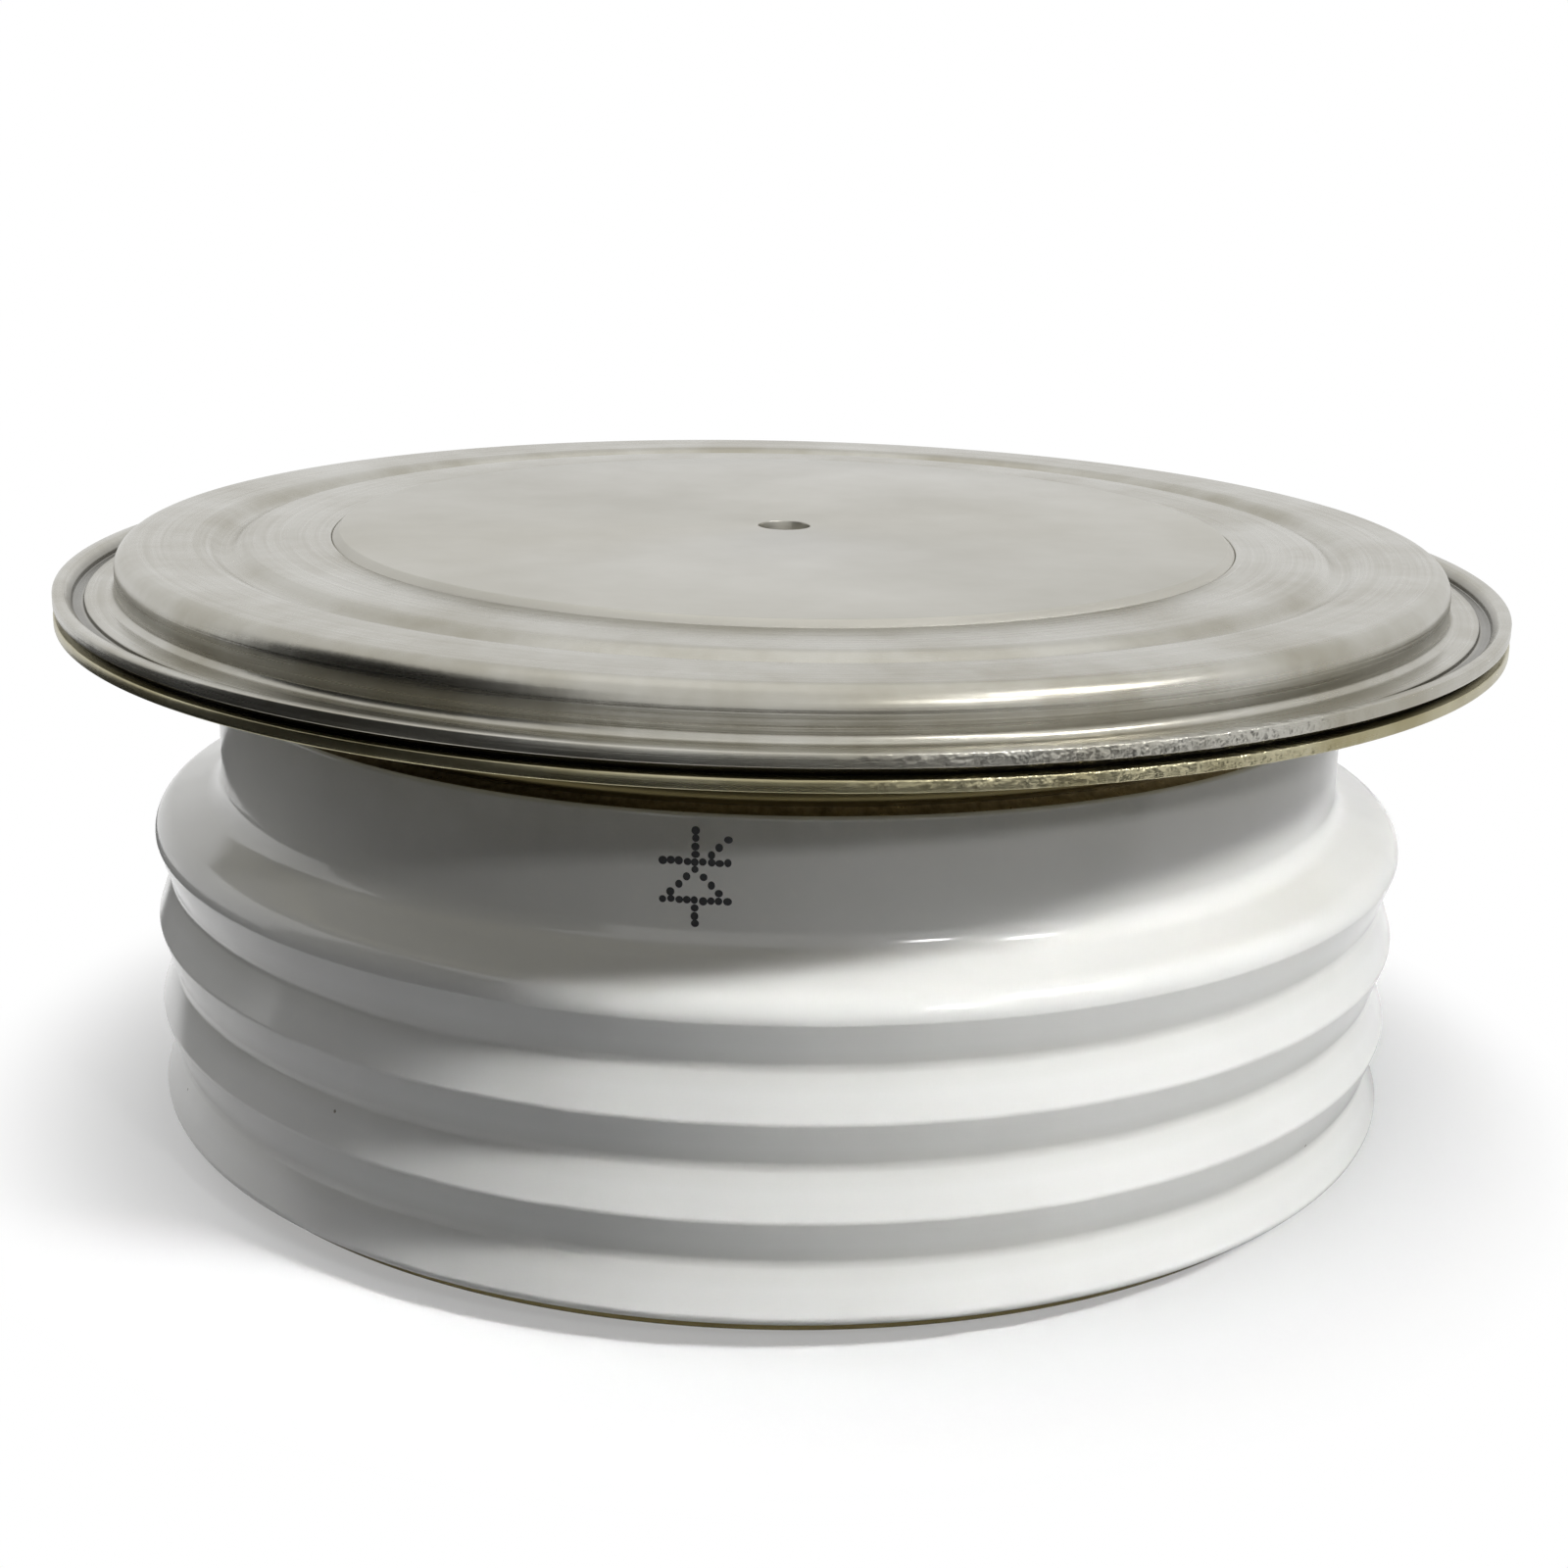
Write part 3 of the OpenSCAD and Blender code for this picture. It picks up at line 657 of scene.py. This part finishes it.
skirt_r = neck_r - SKIRT_INSET - flange_t / 2
foot_r = bore_r + FOOT_INSET
rim_mid = rim_z + flange_t / 2
foot_mid = ceramic_top + flange_t / 2
line = [(flange_r, rim_mid), (weld_out_r, rim_mid), (weld_in_r, rim_mid), (skirt_r + SKIRT_BEND, rim_mid)]
line += arc((skirt_r + SKIRT_BEND, rim_mid - SKIRT_BEND), SKIRT_BEND, 90, 180)
line += [(skirt_r, foot_mid + FOOT_BEND)]
line += arc((skirt_r - FOOT_BEND, foot_mid + FOOT_BEND), FOOT_BEND, 0, -90)
line += [(foot_r, foot_mid)]

lower_sheet = turn("lower_rim_sheet", line)
apply_modifier(lower_sheet, "SOLIDIFY", thickness=flange_t * MM, offset=0, use_even_offset=True)
press_groove(lower_sheet, -1)
round_edges(lower_sheet, SHEET_EDGE)
dress(lower_sheet, flange_nickel, "nickel_plate", "weld_flange")

# %% [markdown]
# The upper sheet closes the housing. Its lip turns up at the edge, so that a dark gap shows between the
# two sheets, then come the pressed welding groove, a flat land, a step up, and the raised lid, with a
# shallow bead that lets it flex when the poles are clamped. It is made just as the lower sheet was.

# %% The upper rim sheet
LIP_W = 1
LIP_GAP = 0.55
LAND_W = 1.4
STEP_BEND = 0.9
BEAD_BEND = 1.5
BEAD_LEAN = 38

low = lid_z + lid_t / 2
high = lid_high.z - lid_t / 2
step_r = weld_in_r - LAND_W
plateau_r = step_r - 2 * STEP_BEND
bead_r = (plateau_r + shoulder_r) / 2
bead_dip = 2 * BEAD_BEND * (1 - math.cos(math.radians(BEAD_LEAN)))
bead_reach = 2 * BEAD_BEND * math.sin(math.radians(BEAD_LEAN))
line = [(flange_r, low + LIP_GAP), (flange_r - LIP_W / 2, low + LIP_GAP)]
line += [(weld_out_r, low), (weld_in_r, low), (step_r, low)]
line += arc((step_r, low + STEP_BEND), STEP_BEND, -90, -180)
line += [(step_r - STEP_BEND, high - STEP_BEND)]
line += arc((plateau_r, high - STEP_BEND), STEP_BEND, 0, 90)
line += [(bead_r + bead_reach, high)]
line += arc((bead_r + bead_reach, high - BEAD_BEND), BEAD_BEND, 90, 90 + BEAD_LEAN)
line += arc((bead_r, high - bead_dip + BEAD_BEND), BEAD_BEND, -90 + BEAD_LEAN, -90 - BEAD_LEAN)
line += arc((bead_r - bead_reach, high - BEAD_BEND), BEAD_BEND, 90 - BEAD_LEAN, 90)
line += [(pole_r, high)]

upper_sheet = turn("upper_rim_sheet", line)
apply_modifier(upper_sheet, "SOLIDIFY", thickness=lid_t * MM, offset=0, use_even_offset=True)
press_groove(upper_sheet, 1)
round_edges(upper_sheet, SHEET_EDGE)
dress(upper_sheet, lid_nickel, "nickel_plate", "lid_flange")

# %% [markdown]
# The two poles carry the current and the clamping force. They are turned from copper and nickel plated: a
# flat contact face with a chamfer, a shoulder that the sheets are brazed on, and a small locating hole in
# the middle. The upper one also has a pocket for the gate's pin and spring, and a way out for the gate's
# wire.

# %% The poles
FACE_CHAMFER = 0.5
HOLE_R = 1.75
HOLE_DEPTH = 2
POLE_EDGE = 0.08
POCKET_PLAY = 0.05
SHOULDER_H = 3

pocket_r = bush_high.x + POCKET_PLAY
shoulder_z = lid_high.z - lid_t - SHOULDER_H
section = [(0, cap_high.z), (pocket_r, cap_high.z), (pocket_r, cathode_low.z)]
section += [(pole_r - FACE_CHAMFER, cathode_low.z), (pole_r, cathode_low.z + FACE_CHAMFER)]
section += [(pole_r, shoulder_z), (shoulder_r, shoulder_z), (shoulder_r, lid_high.z - lid_t)]
section += [(pole_r, lid_high.z - lid_t), (pole_r, cathode_high.z - FACE_CHAMFER)]
section += [(pole_r - FACE_CHAMFER, cathode_high.z), (HOLE_R, cathode_high.z)]
section += [(HOLE_R, cathode_high.z - HOLE_DEPTH), (0, cathode_high.z - HOLE_DEPTH)]
cathode = turn("cathode_contact", section)
round_edges(cathode, POLE_EDGE)
drill(cathode, tube_r, pocket_r - 1, shoulder_r + 1)
dress(cathode, pole_nickel, "pole_nickel", "cathode_pole")

section = [(0, HOLE_DEPTH), (HOLE_R, HOLE_DEPTH), (HOLE_R, 0), (pole_r - FACE_CHAMFER, 0)]
section += [(pole_r, FACE_CHAMFER), (pole_r, base_z), (shoulder_r, base_z)]
section += [(shoulder_r, locating_low.z), (pole_r, locating_low.z)]
section += [(pole_r, anode_high.z - FACE_CHAMFER), (pole_r - FACE_CHAMFER, anode_high.z), (0, anode_high.z)]
anode = turn("anode_contact", section)
round_edges(anode, POLE_EDGE)
dress(anode, pole_nickel, "pole_nickel", "anode_pole")

# %% [markdown]
# Under the ceramic a flat ring of the same plated sheet closes the gap to the lower pole. Only its edge
# and underside can be seen, as a thin dark line under the lowest rib. At the top a thin bead of braze
# fills the crevice where the skirt's foot rests on the ceramic. Its section is a hollow wedge between the
# two, because molten braze is drawn into a corner.

# %% The ring under the ceramic, and the braze at the foot
ring_r = ring_high.x
section = [(pole_r, ring_low.z), (ring_r, ring_low.z), (ring_r, ring_high.z), (pole_r, ring_high.z)]
anode_ring = turn("anode_ring", section + section[:1])
round_edges(anode_ring, SHEET_EDGE)
# This ring lies wholly below the heights where the lower sheet's painted shade sets in, so it is painted in
# that shade colour all over.
dress(anode_ring, flange_nickel, "nickel_plate", "anode_flange")

BRAZE_CLIMB = 0.3
BRAZE_TOE = 0.12
BRAZE_LAP = 0.02
BRAZE_HOLLOW = 0.06
outer_bend = FOOT_BEND + flange_t / 2
bend_centre = (skirt_r - FOOT_BEND, ceramic_top + outer_bend)
climb = math.degrees(math.acos(1 - BRAZE_CLIMB / outer_bend))
wall = arc(bend_centre, outer_bend - BRAZE_LAP, -90, -90 + climb)
toe = (neck_r - NECK_ROUND + BRAZE_TOE, ceramic_top - BRAZE_LAP)
hollow_middle = ((wall[-1][0] + toe[0]) / 2 - BRAZE_HOLLOW, (wall[-1][1] + toe[1]) / 2 - BRAZE_HOLLOW)
section = [(bend_centre[0], ceramic_top - BRAZE_LAP)] + wall + [hollow_middle, toe]
foot_braze = turn("foot_braze", section + section[:1])
dress(foot_braze, braze, "braze")

# %% [markdown]
# The gate lead leaves through a small tube at the back, which is squeezed flat and cut off to seal the
# housing. The round end is a cylinder without caps. The flat end is a plane with rounded corners,
# extruded to its length, and its corners get just enough segments for both outlines to have the same
# number of points.

# %% The two ends of the gate tube
TUBE_SIDES = 32
PINCH_L = 3
PINCH_RUN = 1.6
BLADE_ROUND = 0.4

blade_w = tube_high.x - tube_low.x
blade_t = 0.9
blade_y = tube_high.y - PINCH_L
round_y = blade_y - PINCH_RUN
bpy.ops.mesh.primitive_cylinder_add(
    vertices=TUBE_SIDES, radius=tube_r * MM, depth=(round_y - tube_low.y) * MM, end_fill_type="NOTHING",
    location=(0, (round_y + tube_low.y) / 2 * MM, gate_z * MM), rotation=(math.pi / 2, 0, 0),
)
tube = bpy.context.active_object
tube.name = "pinched_gate_tube"
bpy.ops.object.transform_apply(location=True, rotation=True, scale=True)
bpy.ops.mesh.primitive_plane_add(
    size=1, location=(0, blade_y * MM, gate_z * MM), rotation=(math.pi / 2, 0, 0),
)
blade = bpy.context.active_object
blade.scale = (blade_w * MM, blade_t * MM, 1)
bpy.ops.object.transform_apply(location=True, rotation=True, scale=True)
bpy.ops.object.mode_set(mode="EDIT")
bpy.ops.mesh.select_all(action="SELECT")
bpy.ops.mesh.bevel(offset=blade_t * BLADE_ROUND * MM, segments=TUBE_SIDES // 4 - 1, affect="VERTICES")
bpy.ops.mesh.extrude_region_move(TRANSFORM_OT_translate={"value": (0, PINCH_L * MM, 0)})
bpy.ops.object.mode_set(mode="OBJECT")
tube.select_set(True)
bpy.context.view_layer.objects.active = tube
bpy.ops.object.join()
print("tube", len(tube.data.vertices), "points before bridging")

# %% [markdown]
# Between the two ends the tube changes smoothly from round to flat, as squeezed metal does. Bridging
# makes that stretch from two outlines, so the flat end's inner face is deleted first and only the two
# outlines are picked. A surface interpolation curves the bridge in and out, where straight faces would
# show a kink.

# %% The squeezed stretch of the gate tube
TUBE_EDGE = 0.08
near = 0.01 * MM


def on_joint(vertex):
    """Whether a point lies on one of the two outlines."""
    return abs(vertex.co.y - round_y * MM) < near or abs(vertex.co.y - blade_y * MM) < near


bpy.ops.object.mode_set(mode="EDIT")
bpy.ops.mesh.select_mode(type="VERT")
bpy.ops.mesh.select_all(action="DESELECT")
bpy.ops.object.mode_set(mode="OBJECT")
for vertex in tube.data.vertices:
    vertex.select = on_joint(vertex)
bpy.ops.object.mode_set(mode="EDIT")
bpy.ops.mesh.delete(type="ONLY_FACE")
bpy.ops.mesh.select_mode(type="EDGE")
bpy.ops.object.mode_set(mode="OBJECT")
for edge in tube.data.edges:
    edge.select = all(on_joint(tube.data.vertices[i]) for i in edge.vertices)
bpy.ops.object.mode_set(mode="EDIT")
bpy.ops.mesh.bridge_edge_loops(number_cuts=6, interpolation="SURFACE", smoothness=0.6)
tidy_mesh()
bpy.ops.object.mode_set(mode="OBJECT")
round_edges(tube, TUBE_EDGE)
dress(tube, tube_nickel, "nickel_plate", "gate_tube")

# %% [markdown]
# A collar of braze holds the tube in the ceramic. It is a small turned cone with a hollow flank, laid
# along the gate's axis, and a Boolean modifier cuts its foot to the round neck that it sits on.

# %% The braze collar round the tube
COLLAR_WALL = 0.35
COLLAR_SINK = 0.4
COLLAR_HOLLOW = (0.08, 0.1)

collar_foot_r = eyelet_high.x
collar_top = eyelet_high.y
collar_top_r = tube_r + COLLAR_WALL
foot_y = neck_r - COLLAR_SINK
middle_r = (collar_foot_r + collar_top_r) / 2 - COLLAR_HOLLOW[0]
middle = (middle_r, (neck_r + collar_top) / 2 - COLLAR_HOLLOW[1])
section = [(tube_r, foot_y), (collar_foot_r, foot_y), (collar_foot_r, neck_r), middle]
section += [(collar_top_r, collar_top), (tube_r, collar_top), (tube_r, foot_y)]
collar = turn("gate_braze_collar", section, 64)
collar.rotation_euler = (-math.pi / 2, 0, 0)
collar.location = (0, 0, gate_z * MM)
bpy.ops.object.transform_apply(location=True, rotation=True, scale=True)
bpy.ops.mesh.primitive_cylinder_add(
    vertices=512, radius=neck_r * MM, depth=10 * MM, location=(0, 0, gate_z * MM),
)
neck_core = bpy.context.active_object
apply_modifier(collar, "BOOLEAN", operation="DIFFERENCE", solver="EXACT", object=neck_core)
bpy.data.objects.remove(neck_core)
dress(collar, braze, "braze", "gate_eyelet")

# %% [markdown]
# The neck carries a polarity mark, printed by a jet that throws single drops of ink. One drop is modelled
# as a circle that is extruded into a thin disc. A picture on the ceramic would do from afar, but real
# drops stand a hair's breadth proud, keep sharp outlines at any distance, and need no image file.

# %% One drop of ink
DROP_R = 0.22
INK_T = 0.012

bpy.ops.mesh.primitive_circle_add(
    vertices=14, radius=DROP_R * MM, fill_type="NGON", rotation=(math.pi / 2, 0, 0),
)
drop = bpy.context.active_object
bpy.ops.object.transform_apply(location=True, rotation=True, scale=True)
bpy.ops.object.mode_set(mode="EDIT")
bpy.ops.mesh.select_all(action="SELECT")
bpy.ops.mesh.extrude_region_move(TRANSFORM_OT_translate={"value": (0, -INK_T * MM, 0)})
tidy_mesh()
bpy.ops.object.mode_set(mode="OBJECT")
print("a drop has", len(drop.data.polygons), "faces")

# %% [markdown]
# The mark is the sign for a thyristor, with its arrow from the anode below to the cathode above and the
# gate as a side branch. The drop is copied to each place in a grid, turned so that it lies on the round
# neck, and set a little off, as printed drops are. The random numbers have a fixed seed, so every run
# prints the same mark.

# %% The printed polarity mark
SIGN = [
    "....#....",
    "....#...#",
    "....#..#.",
    "....#.#..",
    "#########",
    "....#....",
    "...#.#...",
    "..#...#..",
    ".#.....#.",
    "#########",
    "....#....",
    "....#....",
    "....#....",
]
DROP_PITCH = 0.44
DROP_WANDER = 0.03
DROP_SPREAD = (0.9, 1.12)
SIGN_TURN = math.radians(-6.7)
SIGN_LOWER = 0.4
sign_z = (neck_z + ceramic_top) / 2 - SIGN_LOWER

luck = random.Random(5)
drops = []
for row, dots in enumerate(SIGN):
    for column, mark in enumerate(dots):
        if mark != "#":
            continue
        across = (column - len(dots) // 2) * DROP_PITCH + luck.uniform(-DROP_WANDER, DROP_WANDER)
        up = (len(SIGN) // 2 - row) * DROP_PITCH + luck.uniform(-DROP_WANDER, DROP_WANDER)
        angle = SIGN_TURN + across / neck_r
        copy = drop.copy()
        copy.data = drop.data.copy()
        copy.location = Vector((math.sin(angle) * neck_r, -math.cos(angle) * neck_r, sign_z + up)) * MM
        copy.rotation_euler = (0, 0, angle)
        copy.scale = (luck.uniform(*DROP_SPREAD), 1, luck.uniform(*DROP_SPREAD))
        bpy.context.scene.collection.objects.link(copy)
        drops.append(copy)
bpy.data.objects.remove(drop)
bpy.ops.object.select_all(action="DESELECT")
for copy in drops:
    copy.select_set(True)
bpy.context.view_layer.objects.active = drops[0]
bpy.ops.object.join()
mark = bpy.context.active_object
mark.name = "polarity_mark"
bpy.ops.object.transform_apply(location=True, rotation=True, scale=True)
dress(mark, ink, "glazed_ceramic")
print("drops of ink:", len(drops))

# %% [markdown]
# The parts inside are never seen in the closed housing, but someone may take the model apart, so their
# exact solids stay and get finishes too. Each is a base colour that wanders to a second one, with a
# roughness and a grain size taken from the real surface: lapped molybdenum, etched silicon, cast rubber,
# turned plastic, foil.

# %% Finishes for the parts inside
def plain_finish(name, colours, grain_size, roughness, relief, **constants):
    """A finish whose colour, gloss and relief follow one grain of this size, in millimetres."""
    material, tree, shader, place = start_finish(name, **constants)
    grain = add(tree, "TexNoise", {"Vector": place, "Scale": per(grain_size), "Detail": 4})
    colour = add(
        tree, "Mix",
        {"Factor": grain.outputs["Fac"], COLOUR_A: linear(colours[0]), COLOUR_B: linear(colours[1])},
        data_type="RGBA",
    )
    tree.links.new(colour.outputs[COLOUR_OUT], shader.inputs["Base Color"])
    gloss = add(
        tree, "MapRange", {"Value": grain.outputs["Fac"], "To Min": roughness[0], "To Max": roughness[1]},
    )
    tree.links.new(gloss.outputs["Result"], shader.inputs["Roughness"])
    bump = add(tree, "Bump", {"Height": grain.outputs["Fac"], "Distance": relief * MM, "Strength": 1})
    tree.links.new(bump.outputs["Normal"], shader.inputs["Normal"])
    return material


foil_silver = plain_finish("silver_foil", ("#e3e1da", "#cfccc2"), 2, (0.2, 0.4), 0.01, metallic=1)
lapped_molybdenum = plain_finish(
    "lapped_molybdenum", ("#8b8d90", "#74777b"), 0.5, (0.35, 0.5), 0.004, metallic=1,
)
silicon = plain_finish("etched_silicon", ("#4b4e56", "#3a3d45"), 3, (0.12, 0.25), 0.002, metallic=0.6)
rubber = plain_finish("cast_silicone_rubber", ("#9a3b2c", "#7f2d21"), 1.5, (0.4, 0.6), 0.02)
white_plastic = plain_finish("turned_white_plastic", ("#ebe9e1", "#dcdad0"), 0.8, (0.35, 0.55), 0.01)
spring_wire = plain_finish("drawn_spring_wire", ("#8f8f8e", "#6f6f70"), 0.3, (0.25, 0.4), 0.004, metallic=1)
print("finishes in all:", len(bpy.data.materials))

# %% [markdown]
# A solid that nothing replaces keeps its mesh and only changes its material. The list below is also a
# list of what lies between the poles: foils that even out the pressure, molybdenum discs that carry the
# brittle wafer, rubber that guards its edge, and the spring-loaded pin that feeds the gate.

# %% The parts inside
INSIDE = {
    "anode_foil": foil_silver,
    "cathode_foil": foil_silver,
    "gate_wire": foil_silver,
    "gate_pin": lapped_molybdenum,
    "anode_moly_disc": lapped_molybdenum,
    "cathode_moly_disc": lapped_molybdenum,
    "silicon_wafer": silicon,
    "edge_coating": rubber,
    "locating_ring": white_plastic,
    "gate_bush": white_plastic,
    "gate_cap": white_plastic,
    "gate_sleeve": white_plastic,
    "gate_spring": spring_wire,
}
for node, material in INSIDE.items():
    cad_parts[node].material_slots[0].material = material
print("solids dressed inside:", len(INSIDE))

# %% [markdown]
# The stage is a plain white floor. Near the part it is mostly an ordinary matt white, so that it takes
# the part's shadow, with some even white mixed in to keep that shadow pale. Farther out it is even white
# to the camera and in reflections, so that no horizon shows. To light that bounces off other surfaces it
# is only a middle grey, which keeps the undersides of the ribs from filling with light. A Light Path node
# tells these kinds of rays apart.

# %% The floor
FLOOR_SIZE = 4
MATT_TO = 0.041
WHITE_FROM = 0.058
SHADE_LIFT = 0.35
FLOOR_DROP = 0.05


def in_sight(tree):
    """One for rays from the camera, off metal and through glass, and nought for all other light."""
    ray = add(tree, "LightPath", {})
    either = add(
        tree, "Math", {0: ray.outputs["Is Camera Ray"], 1: ray.outputs["Is Glossy Ray"]}, operation="MAXIMUM",
    )
    through = ray.outputs["Is Transmission Ray"]
    return add(tree, "Math", {0: either.outputs["Value"], 1: through}, operation="MAXIMUM").outputs["Value"]


bpy.ops.mesh.primitive_plane_add(size=FLOOR_SIZE, location=(0, 0, -FLOOR_DROP * MM))
floor = bpy.context.active_object
floor.name = "floor"
floor_white = bpy.data.materials.new("floor_white")
floor_white.use_nodes = True
tree = floor_white.node_tree
tree.nodes.remove(tree.nodes["Principled BSDF"])
place = add(tree, "TexCoord", {}).outputs["Object"]
away = add(tree, "VectorMath", {0: place}, operation="LENGTH").outputs["Value"]
bounced = add(tree, "LightPath", {}).outputs["Is Diffuse Ray"]
colour = add(
    tree, "Mix", {"Factor": bounced, COLOUR_A: linear("#f4f4f4"), COLOUR_B: linear("#7c7c7c")},
    data_type="RGBA",
)
matt = add(tree, "BsdfDiffuse", {"Color": colour.outputs[COLOUR_OUT]})
even = add(tree, "Emission", {"Color": (1, 1, 1, 1), "Strength": 1})
far = add(
    tree, "MapRange", {"Value": away, "From Min": MATT_TO, "From Max": WHITE_FROM, "To Min": SHADE_LIFT},
    interpolation_type="SMOOTHSTEP",
)
share = add(tree, "Math", {0: far.outputs["Result"], 1: in_sight(tree)}, operation="MULTIPLY")
surface = add(
    tree, "MixShader", {0: share.outputs["Value"], 1: matt.outputs["BSDF"], 2: even.outputs["Emission"]},
)
tree.links.new(surface.outputs["Shader"], tree.nodes["Material Output"].inputs["Surface"])
floor.data.materials.append(floor_white)
print("floor is matt to", MATT_TO, "m")

# %% [markdown]
# The world round the stage is white to the camera and in reflections, like the walls of a white room, and
# a dim grey to everything else. So the lamps decide where the part is light and dark, and the white
# behind it adds no light of its own.

# %% The world
world = bpy.data.worlds.new("white_room")
world.use_nodes = True
bpy.context.scene.world = world
tree = world.node_tree
dim = tree.nodes["Background"]
dim.inputs["Color"].default_value = linear("#4c4c4c")
white = add(tree, "Background", {"Color": (1, 1, 1, 1), "Strength": 1})
both = add(
    tree, "MixShader", {0: in_sight(tree), 1: dim.outputs["Background"], 2: white.outputs["Background"]},
)
tree.links.new(both.outputs["Shader"], tree.nodes["World Output"].inputs["Surface"])
print("world nodes:", len(tree.nodes))

# %% [markdown]
# Shiny metal only looks like metal when it has something dark to mirror, as every product photographer
# knows. So cards lie on the floor in front and on the left, and one stands on the left. The camera
# doesn't see them. They are nearly black on the left and turn to pale grey towards the right, which gives
# the rim its run from dark to bright. Each line below gives a card's middle, its size and how far it is
# turned up.

# %% The dark cards
card_grey = bpy.data.materials.new("grey_card")
card_grey.use_nodes = True
tree = card_grey.node_tree
shader = tree.nodes["Principled BSDF"]
shader.inputs["Roughness"].default_value = 0.9
place = add(tree, "TexCoord", {}).outputs["Object"]
sideways = add(tree, "SeparateXYZ", {"Vector": place}).outputs["X"]
lighter = add(tree, "MapRange", {"Value": sideways, "From Min": -0.03, "From Max": 0.16})
grey = add(
    tree, "Mix",
    {"Factor": lighter.outputs["Result"], COLOUR_A: linear("#1c1c1c"), COLOUR_B: linear("#e0e0e0")},
    data_type="RGBA",
)
tree.links.new(grey.outputs[COLOUR_OUT], shader.inputs["Base Color"])

CARDS = {
    "card_front": ((-0.15, -0.27, 0.001), (0.7, 0.41), 0),
    "card_side": ((-0.27, 0.005, 0.001), (0.41, 0.14), 0),
    "card_left": ((-0.36, -0.3, 0.2), (0.4, 0.6), math.pi / 2),
}
for name, (spot, size, stand) in CARDS.items():
    bpy.ops.mesh.primitive_plane_add(size=1, location=spot, rotation=(0, stand, 0))
    card = bpy.context.active_object
    card.name = name
    card.scale = (size[0], size[1], 1)
    bpy.ops.object.transform_apply(location=True, rotation=True, scale=True)
    card.data.materials.append(card_grey)
    card.visible_camera = False
print("cards:", list(CARDS))

# %% [markdown]
# One soft lamp on the right does most of the work. It has a grid in front of it, as studio lamps do, so
# its light stays narrow: it is brightest at the front and weaker on the right, which is turned towards
# the lamp anyway. That makes the ribs' upper flanks nearly white from the front to the right, leaves
# their undersides and the neck below the rim in shade, and lets the left side fall into grey. Its mirror
# image would burn out on the metal, so it isn't mirrored, and a weaker twin just in front of it gives the
# sheen and no other light. A wide lamp on the left keeps that side from going black. It isn't mirrored
# either, because its square would show in the glaze. Another overhead lights the metal, and a small
# bright one gives the sparks in the glaze. Each line below gives a lamp's place, its width, its power in
# watts, the spot it points at and the angle of its grid.

# %% The lamps
PART_MIDDLE = (0, 0, 0.018)
KEY_SPOT = (-0.020, -0.056, 0.012)
LAMPS = {
    "lamp_key": ((0.423, -0.307, 0.508), 0.15, 0.084, KEY_SPOT, 12.5),
    "lamp_sheen": ((0.414, -0.302, 0.498), 0.15, 0.022, KEY_SPOT, 12.5),
    "lamp_left": ((-0.33, 0.15, 0.20), 0.40, 0.9, PART_MIDDLE, 180),
    "lamp_overhead": ((0.05, 0.10, 0.60), 0.55, 0.3, PART_MIDDLE, 180),
    "lamp_spark": ((0.17, -0.30, 0.20), 0.025, 0.16, PART_MIDDLE, 180),
}
for name, (spot, width, power, target, spread) in LAMPS.items():
    bpy.ops.object.light_add(type="AREA")
    lamp = bpy.context.active_object
    lamp.name = name
    lamp.data.size = width
    lamp.data.energy = power
    lamp.data.spread = math.radians(spread)
    lamp.location = spot
    lamp.rotation_euler = (Vector(target) - Vector(spot)).to_track_quat("-Z", "Y").to_euler()
    lamp.visible_glossy = name not in ("lamp_key", "lamp_left")
    lamp.visible_diffuse = name != "lamp_sheen"
print("lamps:", list(LAMPS))
